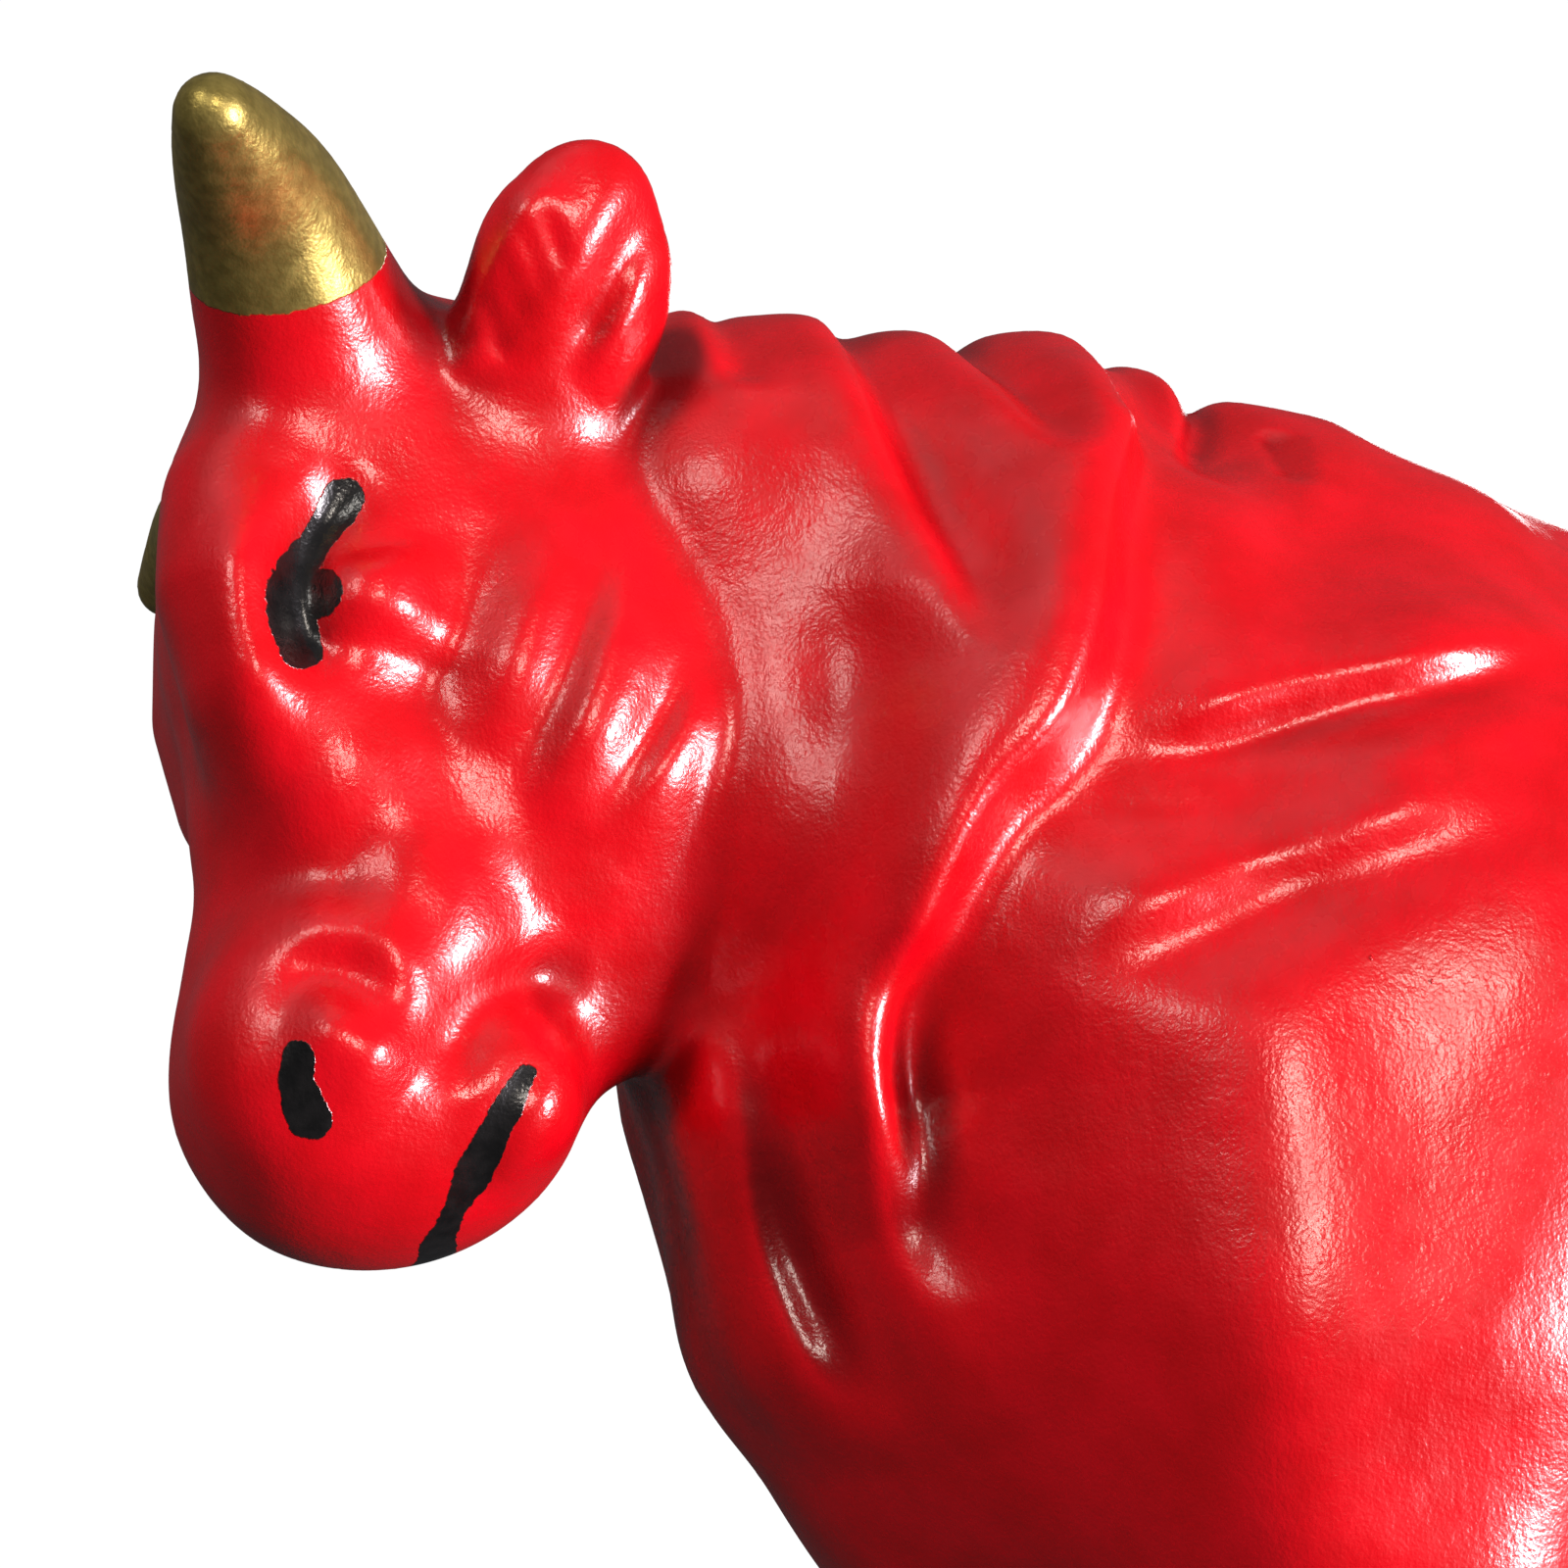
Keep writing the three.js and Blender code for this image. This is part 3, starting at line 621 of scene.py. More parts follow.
@dataclass(frozen=True)
class Head:
    """The face casting, in its own frame: the face looks along -X and the poll is up."""

    centre: Point = (-93.0, -2.0, 124.0)
    tuck: float = 5.0
    roll: float = 13.4
    cranium: Point = (41.0, 33.0, 42.0)
    cranium_rise: float = 15.0
    jaw_length: float = 34.0
    jaw_width: float = 34.0
    jaw_height: float = 39.0
    jaw_setback: float = 9.0
    jaw_edge: float = 26.5
    jaw_corner: float = 14.0
    bridge_radius: float = 11.5
    muzzle: Point = (29.6, 26.0, 27.0)
    muzzle_drop: float = 26.5
    muzzle_forward: float = 7.0
    nostril_spacing: float = 15.0
    brow_spacing: float = 25.0
    brow_radius: float = 5.0
    eye_spacing: float = 24.0
    eye_width: float = 11.0

    def axes(self) -> Array:
        """The head's own axes as rows, in the figure's frame."""
        drawn_in = Matrix.Rotation(math.radians(-self.tuck), 3, "Y")
        return np.array(drawn_in @ Matrix.Rotation(math.radians(-self.roll), 3, "X")).T

    def local(self, points: Array) -> Array:
        """Points of the figure in the head's own frame."""
        return (points - np.float32(self.centre)) @ self.axes().T.astype(np.float32)

    def placed(self, point: Point) -> Array:
        """A point of the head's own frame in the figure."""
        return np.array(self.centre) + np.array(point) @ self.axes()

    def masses(self, local: Array, detailed: bool = True) -> Array:
        """Blends the face without its horns and ears.

        Args:
            local: Points in the head's frame.
            detailed: Whether the forehead, nose and lip are put on, which the hollow doesn't need.

        Returns:
            The distance of each point from the face.
        """
        both = mirrored(local)
        side = self.brow_spacing / 2
        bridge = Limb((
            (-3, 0, self.cranium_rise + 3, self.bridge_radius + 3.5),
            (-6.5, 0, -6, self.bridge_radius),
            (-4.5, 0, -14, self.bridge_radius),
        ))
        plain = blend(
            5.0,
            Ball((2.5, 0, self.cranium_rise), self.cranium)(local),
            Ball((self.jaw_setback, 5, 0), (self.jaw_length, self.jaw_width - 10, self.jaw_height))(both),
            bridge(local),
            Ball((self.jaw_setback, 0, -14), (28, 19, 28))(local),
            Ball((-self.muzzle_forward, 0, -self.muzzle_drop), self.muzzle)(local),
        )
        brow = Limb((
            (-14.5, side, 14, self.brow_radius),
            (-15.5, side + 0.5, 7, self.brow_radius),
            (-14.4, side, 0, self.brow_radius - 0.5),
            (-10, side - 1.5, -7, self.brow_radius - 1.5),
        ))
        nostril = Ball((-12, self.nostril_spacing / 2, 1 - self.muzzle_drop), (16, 12, 18))
        eye = Ball((-6.5, self.eye_spacing / 2, 4), (self.eye_width, 9, self.eye_width + 1))
        if not detailed:
            return blend(5.0, plain, brow(both), eye(both), nostril(both))
        forehead = Ball((-8.5, 0, 9), (22, 33, 36))
        nose = Limb(((-5.5, 0, -8, 11.6), (-7.4, 0, -17, 11.4)))
        lip = Ball((0.9, 7.0, -30.5), (9.5, 9.6, 9.5))
        face = blend(7.0, blend(6.0, plain, forehead(local), nose(local)), brow(both))
        return blend(3.0, blend(4.0, face, nostril(both)), eye(both), lip(both))

    def strokes(self) -> list[Stroke]:
        """Lists the lids, cheek folds, jaw edge, nostrils and lips.

        Returns:
            The strokes, in the head's side view.
        """
        return [
            Stroke(((-12.6, 13.5), (-15.2, 7), (-15.8, 1), (-14.6, -4), (-12.4, -8.5)), 1.7, 2.9, fade=0.35),
            Stroke(((-6.4, 14.5), (-8.6, 11.0), (-10.6, 7.8), (-11.4, 4.4), (-11.0, 1.0), (-9.4, -2.6)),
                   -1.5, 2.1),
            Stroke(((-5.6, 8.0), (-5.0, 4), (-5.8, 0)), 1.5, 4.2, fade=0.4),
            Stroke(((0.8, 11), (-0.2, 4), (-2.4, -1.5), (-5.0, -6)), -0.8, 3.6, fade=0.4),
            Stroke(((8.0, 10.5), (5.2, 3.0), (2.4, -2.0), (-0.4, -7.0)), 1.35, 4.0, fade=0.4),
            Lap(((4.2, -13.0), (6.4, -8.6), (8.9, -3.6), (11.4, 2.4), (13.0, 8.0)),
                1.35, 4.8, fade=0.4, edge=1.8, sink=0.7, trough=2.0),
            Lap(((8.8, -14.8), (12.6, -10.4), (15.8, -5.8), (17.6, -0.4)),
                1.0, 3.4, fade=0.4, edge=1.5, sink=0.8, trough=1.7),
            Lap(((19.6, 14), (21.6, 7), (22.8, 1), (23.0, -5), (21.8, -11), (19.2, -16), (15, -21.5),
                 (11, -25)), 0.9, 3.6, edge=1.6, sink=2.0, trough=3.0),
            Stroke(((-9.4, -14.2), (-5.6, -15.8), (-1.8, -17.8), (2.6, -19.6)), 1.3, 5.0, fade=0.4),
            Stroke(((-5.9, -27.4), (-6.0, -23.8), (-7.3, -21.0), (-10.0, -19.3), (-13.2, -19.2),
                    (-16.4, -20.8)), 0.9, 2.2, fade=0.35),
            Stroke(((-16.2, -24.6), (-13.0, -22.4), (-10.4, -22.8), (-9.0, -25.0), (-8.4, -27.6)),
                   -0.7, 2.0, fade=0.4),
            Stroke(((-14.4, -24.6), (-11.6, -26.4), (-8.8, -28.8), (-6.4, -30.8)), 1.5, 3.2, fade=0.4),
            Stroke(((7.8, -22.3), (4.4, -22.4), (1.0, -23.4), (-1.6, -25.2), (-3.4, -28.0), (-3.8, -31.5)),
                   -1.1, 2.1),
            Stroke(((2.6, -28.6), (0.1, -32.4), (-1.8, -35.4), (-3.3, -37.8), (-4.6, -40)),
                   -0.5, 1.4, fade=0.12),
        ]


@dataclass(frozen=True)
class Legs:
    """Four short legs with cloven hooves, drawn on the +Y side."""

    root_drop: float = 2.0
    foreleg_x: float = -30.0
    hindleg_x: float = 86.0
    track: float = 50.0
    knee_height: float = 34.0
    hock_height: float = 36.0
    hock_setback: float = 7.0
    fetlock_height: float = 14.0
    foreleg_radius: float = 13.0
    hindleg_radius: float = 15.5
    shank_radius: float = 9.0
    hoof_radius: float = 11.0
    hoof_height: float = 14.0
    cleft_width: float = 2.5
    coronet_depth: float = 0.8
    coronet_width: float = 1.3

    def foreleg(self, belly: float) -> Limb:
        """Draws one foreleg, from inside the shoulder down to its sole.

        Args:
            belly: The height of the belly.

        Returns:
            The leg's chain of stations.
        """
        x, side = self.foreleg_x, self.track / 2
        return Limb((
            (x + 6, side - 9, belly + 42, self.foreleg_radius + 1.5),
            (x + 4, side - 1.5, belly + 23, self.foreleg_radius + 4.5),
            (x + 2, side - 0.5, belly + 10, self.foreleg_radius + 2.6),
            (x, side, belly - 1, self.foreleg_radius),
            (x - 1, side, self.knee_height, self.shank_radius + 0.5),
            (x, side, self.fetlock_height, self.shank_radius - 1),
            (x - 1, side, self.hoof_height / 2, self.hoof_radius - 0.5),
            (x - 1.5, side, 0, self.hoof_radius),
        ), soft=5.0)

    def hindleg(self, belly: float) -> Limb:
        """Draws one hindleg, from inside the thigh down to its sole.

        Args:
            belly: The height of the belly.

        Returns:
            The leg's chain of stations.
        """
        x, side = self.hindleg_x, self.track / 2
        return Limb((
            (x, side - 12, belly + 44, self.hindleg_radius + 4.5),
            (x - 2, side - 5, belly + 30, self.hindleg_radius + 8.0),
            (x - 7, side, belly + 1, self.hindleg_radius),
            (x + self.hock_setback, side, self.hock_height, self.shank_radius),
            (x + 2, side, self.fetlock_height, self.shank_radius - 1),
            (x - 0.5, side, self.hoof_height / 2, self.hoof_radius - 0.5),
            (x - 1, side, 0, self.hoof_radius),
        ), soft=5.0)

    def hooves(self, both: Array, surface: Array) -> Array:
        """Cuts the clefts and coronets into the hooves.

        Args:
            both: Points folded onto the +Y side.
            surface: Their distance from the figure without clefts.

        Returns:
            Their distance from the figure with clefts, coronets and dewclaws.
        """
        side = self.track / 2
        above = (both[:, 2] - self.hoof_height) / self.coronet_width
        surface = surface + self.coronet_depth * np.exp(-(above**2))
        for x in (self.foreleg_x - 1.5, self.hindleg_x - 1.0):
            cleft = Ball((x - 11.5, side, 1.0), (20.0, self.cleft_width * 1.2, 22.0))
            surface = -soften(-surface, cleft(both), 1.0)
            for lean in (-1.0, 1.0):
                claw = Ball((x + 8.6, side + 3.6 * lean, self.fetlock_height + 3.0), (5.0, 4.0, 6.0))
                surface = soften(surface, claw(both), 1.2)
        return surface


class Bull:
    """The whole figure as one field: the distance of any point from its skin, in millimetres."""

    head_band = 6.0  # how near the skin a stroke of the head is worked out
    body_band = 8.0
    uneven_band = 3.0
    head_end = 50.0  # how far behind the head's centre its skin is worked out
    body_start = 12.0  # how far ahead of the head's centre the body's is
    beyond = 99.0  # the distance that stands where neither is
    face_sides = (4.0, 9.0)  # the widths between which the strokes of the face set in
    ear_sides = (16.0, 18.5)
    body_sides = (3.0, 10.0)
    hoof_room = 25.0  # how far below the belly the hooves are carved

    def __init__(self) -> None:
        """Gathers the members' sizes and strokes."""
        self.trunk, self.neck, self.head = Trunk(), Neck(), Head()
        self.horn, self.ear, self.legs = Horn(), Ear(), Legs()
        self.unevenness = Unevenness()
        self.body_strokes = self.trunk.strokes() + self.neck.strokes()
        self.head_strokes = self.head.strokes()
        self.ear_strokes = self.ear.strokes()

    def head_skin(self, points: Array) -> Array:
        """Joins the face with its horns and ears, and carves it.

        Args:
            points: Points of the figure.

        Returns:
            Their distance from that skin.
        """
        local = self.head.local(points)
        both = mirrored(local)
        horns = self.horn.shape()(self.horn.upright(local))
        surface = blend(5.0, self.head.masses(local), horns, self.ear.shape()(both))
        near = np.abs(surface) < self.head_band
        plane, width = both[near][:, [0, 2]], both[near, 1]
        cut = relief(self.head_strokes, plane, smoothstep(*self.face_sides, width))
        cut += relief(self.ear_strokes, plane, smoothstep(*self.ear_sides, width))
        surface[near] -= cut
        return surface

    def torso(self, points: Array) -> Array:
        """The distance from the plain form of trunk and neck."""
        neck = self.neck.masses(points, self.trunk, self.head)
        return blend(6.0, self.trunk.masses(points), neck)

    def body_skin(self, points: Array) -> Array:
        """Joins the trunk, neck and legs, and carves them.

        Args:
            points: Points of the figure.

        Returns:
            Their distance from that skin.
        """
        both = mirrored(points)
        belly = self.trunk.belly_height
        surface = self.torso(points)
        surface = blend(10.0, surface, self.legs.foreleg(belly)(both), self.legs.hindleg(belly)(both))
        near = np.abs(surface) < self.body_band
        plane, width = both[near][:, [0, 2]], both[near, 1]
        surface[near] -= relief(self.body_strokes, plane, smoothstep(*self.body_sides, width))
        low = points[:, 2] < belly - self.hoof_room
        surface[low] = self.legs.hooves(both[low], surface[low])
        return surface

    def __call__(self, points: Array) -> Array:
        """Measures points against the whole skin.

        Args:
            points: Points of the figure.

        Returns:
            The distance of each point from the skin, negative inside.
        """
        points = points.astype(np.float32)
        surface = np.full(len(points), self.beyond, np.float32)
        x = self.head.centre[0]
        ahead, behind = points[:, 0] < x + self.head_end, points[:, 0] > x - self.body_start
        surface[behind] = self.body_skin(points[behind])
        surface[ahead] = soften(surface[ahead], self.head_skin(points[ahead]), 2.0)
        near = np.abs(surface) < self.uneven_band
        surface[near] -= self.unevenness(points[near])
        return surface

    def hollow(self, points: Array) -> Array:
        """Measures points against the hollow inside the casting.

        Args:
            points: Points of the figure.

        Returns:
            The distance of each point from the hollow, negative in it.
        """
        points = points.astype(np.float32)
        face = self.head.masses(self.head.local(points), detailed=False)
        return blend(4.0, self.torso(points), face) + self.trunk.wall


def graded(stops: Line) -> Array:
    """Spaces out an axis.

    Args:
        stops: Pairs of a position and the spacing there.

    Returns:
        The positions along the axis.
    """
    places, pitches = zip(*stops)
    spots = [places[0]]
    while spots[-1] < places[-1]:
        spots.append(spots[-1] + float(np.interp(spots[-1], places, pitches)))
    return np.array(spots, np.float32)


class Lattice:
    """A field sampled on a graded lattice, and the skin that crosses it."""

    batch = 400_000  # how many points are worked out at once
    coarse = 4  # how many cells a wide sample spans away from the skin
    band = 2.4  # how near the skin every point is worked out exactly
    probe = 0.05  # the step that a slope is read over
    least = 1e-4  # the smallest distance that a lattice point keeps
    filled = -0.05  # the distance given to a corner that is filled
    margin = 0.03  # how much of a cell a vertex leaves free at each side

    def __init__(self, shape: Field, axes: Sequence[Array]) -> None:
        """Samples the field and finds the skin's vertices.

        Args:
            shape: The field.
            axes: The lattice's positions along X, Y and Z.
        """
        self.shape, self.axes = shape, axes
        self.values = self.sample()
        self.mend()
        self.spots, self.numbers = self.vertices()

    def field_at(self, points: Array) -> Array:
        """The field at many points, worked out in bounded batches."""
        batches = np.array_split(points, max(1, len(points) // self.batch + 1))
        return np.concatenate([self.shape(batch) for batch in batches])

    def rise_at(self, points: Array, here: Array) -> Array:
        """How fast the field rises along each axis, from its known values at the points."""
        steps = self.probe * np.eye(3, dtype=np.float32)
        return np.stack([self.field_at(points + step) - here for step in steps], axis=1) / self.probe

    def slope_at(self, points: Array, reach: float) -> Array:
        """The way out of the figure at each point, evened over a reach on both sides."""
        steps = reach * np.eye(3, dtype=np.float32)
        return np.stack([self.field_at(points + s) - self.field_at(points - s) for s in steps], axis=1)

    def grid_points(self, axes: Sequence[Array]) -> Array:
        """Every point of a lattice, one row each."""
        return np.stack(np.meshgrid(*axes, indexing="ij"), axis=-1).reshape(-1, 3).astype(np.float32)

    def sample(self) -> Array:
        """Samples the field, exactly near the skin and between wider samples elsewhere.

        Returns:
            The field at each lattice point.
        """
        wide = [np.append(axis[:: self.coarse], axis[-1] + 1.0) for axis in self.axes]
        values = self.field_at(self.grid_points(wide)).reshape([len(axis) for axis in wide])
        for number, (known, wanted) in enumerate(zip(wide, self.axes)):
            place = np.clip(np.searchsorted(known, wanted, side="right") - 1, 0, len(known) - 2)
            shape = [1, 1, 1]
            shape[number] = -1
            share = ((wanted - known[place]) / (known[place + 1] - known[place])).reshape(shape)
            low, high = np.take(values, place, number), np.take(values, place + 1, number)
            values = low + (high - low) * share
        near = np.argwhere(np.abs(values) < self.band)
        exact = self.field_at(self.corner(near))
        values[tuple(near.T)] = np.where(np.abs(exact) < self.least, self.least, exact)
        return values

    def mend(self) -> None:
        """Fills a corner of each cell face whose corners alternate, so the skin never touches itself."""
        faces = (((1, 0, 0), (0, 1, 0)), ((1, 0, 0), (0, 0, 1)), ((0, 1, 0), (0, 0, 1)))
        inside = self.values < 0
        changed = True
        while changed:
            changed = False
            for u, v in faces:
                views = []
                for step in ((0, 0, 0), u, tuple(np.add(u, v)), v):
                    views.append(inside[tuple(
                        slice(s, inside.shape[a] - (u[a] + v[a]) + s) for a, s in enumerate(step)
                    )])
                first, second, third, fourth = views
                for a, b, c, d in ((first, second, third, fourth), (second, first, fourth, third)):
                    wrong = a & c & ~b & ~d
                    if wrong.any():
                        b |= wrong
                        changed = True
        self.values[inside & (self.values >= 0)] = self.filled

    def crossed(self, inside: Array) -> Array:
        """Finds the cells that the skin passes through.

        Args:
            inside: Which lattice points lie inside.

        Returns:
            True for each cell with corners on both sides.
        """
        corners = [
            inside[tuple(slice(s, s + size - 1) for s, size in zip(corner, inside.shape))]
            for corner in CORNERS
        ]
        count = reduce(np.add, [corner.astype(np.int8) for corner in corners])
        return (count > 0) & (count < len(CORNERS))

    def corner(self, cells: Array) -> Array:
        """The places of lattice points, by their numbers along the axes."""
        return np.stack([axis[index] for axis, index in zip(self.axes, cells.T)], axis=1)

    def vertices(self) -> tuple[Array, Array]:
        """Puts one vertex in each crossed cell, drawn onto the skin but kept in its cell.

        Returns:
            The vertices, and for each cell the number of its vertex, or -1.
        """
        cells = np.argwhere(self.crossed(self.values < 0))
        total = np.zeros((len(cells), 3), np.float32)
        count = np.zeros(len(cells), np.float32)
        edges = [(start, axis) for start in CORNERS for axis in range(3) if not start[axis]]
        for start, axis in edges:
            a_cell = cells + np.array(start)
            b_cell = a_cell + np.eye(3, dtype=int)[axis]
            a, b = self.values[tuple(a_cell.T)], self.values[tuple(b_cell.T)]
            cut = (a < 0) != (b < 0)
            share = np.where(cut, a / np.where(cut, a - b, 1.0), 0.0)[:, None]
            begin, end = self.corner(a_cell), self.corner(b_cell)
            total += np.where(cut[:, None], begin + (end - begin) * share, 0.0)
            count += cut
        spots = total / count[:, None]
        low, high = self.corner(cells), self.corner(cells + 1)
        rim = self.margin * (high - low)
        for _ in range(2):
            here = self.field_at(spots)
            rise = self.rise_at(spots, here)
            spots = spots - rise * (here / np.maximum(np.einsum("ij,ij->i", rise, rise), 0.2))[:, None]
            spots = np.clip(spots, low + rim, high - rim).astype(np.float32)
        numbers = np.full([len(axis) - 1 for axis in self.axes], -1, np.int32)
        numbers[tuple(cells.T)] = np.arange(len(cells))
        return spots, numbers

    def skin(self, low: Point, high: Point) -> tuple[Array, Array]:
        """Closes the skin of what lies inside a box.

        Args:
            low: The box's lowest corner.
            high: Its highest corner.

        Returns:
            The vertices and the four-sided faces.
        """
        spans = [
            slice(int(np.searchsorted(axis, a)), int(np.searchsorted(axis, b)))
            for axis, a, b in zip(self.axes, low, high)
        ]
        inside = (self.values[tuple(spans)] < 0).copy()
        for axis in range(3):
            edge: list[slice | int] = [slice(None)] * 3
            for edge[axis] in (0, -1):
                inside[tuple(edge)] = False
        numbers = self.numbers[tuple(slice(s.start, s.stop - 1) for s in spans)].copy()
        cells = self.crossed(inside)
        fresh = np.argwhere(cells & (numbers < 0))
        middles = [
            (axis[s.start : s.stop - 1] + axis[s.start + 1 : s.stop]) / 2
            for axis, s in zip(self.axes, spans)
        ]
        walls = np.stack([middle[index] for middle, index in zip(middles, fresh.T)], axis=1)
        numbers[tuple(fresh.T)] = len(self.spots) + np.arange(len(fresh))
        spots = np.concatenate([self.spots, walls.astype(np.float32)])
        faces = np.concatenate([self.faces_across(inside, numbers, axis) for axis in range(3)])
        used, faces = np.unique(faces, return_inverse=True)
        return spots[used], faces.reshape(-1, 4)

    def faces_across(self, inside: Array, numbers: Array, axis: int) -> Array:
        """Makes the faces that cut lattice edges along one axis.

        Args:
            inside: Which lattice points lie inside.
            numbers: The number of each cell's vertex.
            axis: The number of the axis.

        Returns:
            Rows of four vertex numbers.
        """
        near, far = [slice(1, -1)] * 3, [slice(1, -1)] * 3
        near[axis], far[axis] = slice(0, -1), slice(1, None)
        a, b = inside[tuple(near)], inside[tuple(far)]
        faces = []
        for leaving in (True, False):
            edges = np.argwhere(a & ~b if leaving else ~a & b)
            edges += [0 if n == axis else 1 for n in range(3)]
            u, v = np.eye(3, dtype=int)[(axis + 1) % 3], np.eye(3, dtype=int)[(axis + 2) % 3]
            ring = [edges, edges - u, edges - u - v, edges - v]
            rows = np.stack([numbers[tuple(cell.T)] for cell in ring], axis=1)
            faces.append(rows if leaving else rows[:, ::-1])
        return np.concatenate(faces)


def around(count: int, shift: float = 0.0) -> list[tuple[float, float]]:
    """The cosine and sine of each of a count of even steps round a circle."""
    angles = [2 * math.pi * (n + shift) / count for n in range(count)]
    return [(math.cos(angle), math.sin(angle)) for angle in angles]


def linked(name: str, data: bpy.types.ID) -> bpy.types.Object:
    """Makes an object and links it to the scene.

    Args:
        name: The object's name.
        data: Its mesh, curve, light or camera.

    Returns:
        The object.
    """
    holder = bpy.data.objects.new(name, data)
    bpy.context.scene.collection.objects.link(holder)
    return holder


def mesh_object(name: str, spots: Array, faces: Array | list[tuple[int, ...]]) -> bpy.types.Object:
    """Makes a linked object of vertices and faces, and shades it smooth.

    Args:
        name: The object's name.
        spots: Its vertices.
        faces: Its faces, as rows of vertex numbers.

    Returns:
        The object.
    """
    mesh = bpy.data.meshes.new(name)
    mesh.from_pydata(spots.tolist(), [], faces if isinstance(faces, list) else faces.tolist())
    mesh.update()
    mesh.shade_smooth()
    return linked(name, mesh)


class Knife:
    """The blocks that part the members, and the cuts made with them."""

    reach = 400.0  # how far a block runs past the figure
    pitch = 2.6  # the spacing of the hollow's lattice
    member_sides = 40
    vent_sides = 32

    def __init__(self, bull: Bull) -> None:
        """Makes the blocks on the figure's joint lines.

        Args:
            bull: The figure that is cut.
        """
        self.bull = bull
        head = bull.head
        x, _, z = head.centre
        belly = bull.trunk.belly_height
        clear = bull.horn.tip_height + bull.horn.span / 4
        cheek = ((4.5, clear + 12), (2.5, clear - 14), (0.0, 14.0), (0.5, -3.0), (4.5, -16.0))
        jaw_line = [(x + head.jaw_edge - ahead, z + up) for ahead, up in cheek]
        jaw_line += [(x + head.jaw_corner, height) for height in (z - 25, z - clear, belly - 12)]
        fold = (
            (-38.5, 159), (-42.5, 152), (-49, 139), (-51.5, 130), (-55, 122.5),
            (-60, 117), (-63.5, 110), (-65.6, 101), (-65, 94.5), (-62, 88),
        )
        fold_line = (
            (fold[0][0] + 8, fold[0][1] + 20), *((a + 1.5, b) for a, b in fold),
            (bull.trunk.brisket_x - 10, belly + 16), (bull.trunk.brisket_x + 2, belly - 12),
        )
        self.behind_jaw = self.behind("behind_jaw", smooth_line(jaw_line, 25))
        self.behind_fold = self.behind("behind_fold", smooth_line(fold_line, 30))
        leg_top = belly - bull.legs.root_drop
        far = self.reach
        self.above_legs = self.block("above_legs", (-far, -far, leg_top), (far, far, far))
        self.leg_room = self.block("leg_room", (-far, -far, 0.0), (far, far, leg_top))
        horn, ear = bull.horn, bull.ear
        horn_width, ear_width = 2 * horn.root_radius, 1.2 * ear.width
        self.horns = {s: self.round_block(s, horn.seat_point(), horn.tip(), horn_width) for s in Side}
        self.ears = {s: self.round_block(s, ear.seat_point(), ear.tip(), ear_width) for s in Side}
        self.hollow = self.hollow_block()
        self.vent = self.vent_block()

    def solid(self, name: str, spots: Array, faces: list[tuple[int, ...]]) -> bpy.types.Object:
        """Makes a cutting block with its faces turned outwards.

        Args:
            name: The block's name.
            spots: Its vertices.
            faces: Its faces, as rows of vertex numbers.

        Returns:
            The block.
        """
        block = mesh_object(name, spots, faces)
        made = bmesh.new()
        made.from_mesh(block.data)
        bmesh.ops.recalc_face_normals(made, faces=made.faces)
        made.to_mesh(block.data)
        made.free()
        return block

    def extruded(self, name: str, low: Array, high: Array) -> bpy.types.Object:
        """Makes a block between two like outlines.

        Args:
            name: The block's name.
            low: The points of one outline.
            high: The points of the other.

        Returns:
            The block.
        """
        count = len(low)
        sides = [(n, (n + 1) % count, count + (n + 1) % count, count + n) for n in range(count)]
        caps = [tuple(range(count)), tuple(range(2 * count - 1, count - 1, -1))]
        return self.solid(name, np.concatenate([low, high]), sides + caps)

    def behind(self, name: str, line: Array) -> bpy.types.Object:
        """Makes a block across the whole width behind a joint line.

        Args:
            name: The block's name.
            line: The joint line in the side view, from the top down.

        Returns:
            The block.
        """
        outline = np.concatenate([line, [[self.reach, line[-1, 1]], [self.reach, line[0, 1]]]])
        left = np.insert(outline, 1, -self.reach / 2, axis=1)
        return self.extruded(name, left, left + [0.0, self.reach, 0.0])

    def block(self, name: str, low: Point, high: Point) -> bpy.types.Object:
        """Makes a rectangular block.

        Args:
            name: The block's name.
            low: Its lowest corner.
            high: Its highest corner.

        Returns:
            The block.
        """
        corners = ((low[0], low[1]), (high[0], low[1]), (high[0], high[1]), (low[0], high[1]))
        floor = np.array([(*corner, low[2]) for corner in corners])
        return self.extruded(name, floor, floor + [0.0, 0.0, high[2] - low[2]])

    def round_block(self, side: Side, root: Point, tip: Point, width: float) -> bpy.types.Object:
        """Makes a round block about a member of the head, from its luted face outwards.

        Args:
            side: The side of the member.
            root: The middle of its luted face in the head's frame, on the +Y side.
            tip: Its tip in the same way.
            width: The block's width.

        Returns:
            The block.
        """
        flip = np.array([1.0, side.value, 1.0])
        start, end = (self.bull.head.placed(tuple(np.array(spot) * flip)) for spot in (root, tip))
        axis = Vector(end - start).normalized()
        reach = 2 * float(np.linalg.norm(end - start)) + width / 2
        spin = axis.to_track_quat("Z", "Y").to_matrix()
        ways = [spin @ Vector((x, y, 0.0)) for x, y in around(self.member_sides, 0.5)]
        ring = np.array([way * width / 2 for way in ways]) + start
        return self.extruded("member_" + side.name.lower(), ring, ring + np.array(axis) * reach)

    def hollow_block(self) -> bpy.types.Object:
        """Makes the hollow inside the trunk, neck and head.

        Returns:
            The block.
        """
        axes = [np.arange(a, b, self.pitch) for a, b in ((-118, 122), (-44, 46), (52, 164))]
        lattice = Lattice(self.bull.hollow, [axis.astype(np.float32) for axis in axes])
        return mesh_object("hollow", *lattice.skin((-FAR, -FAR, -FAR), (FAR, FAR, FAR)))

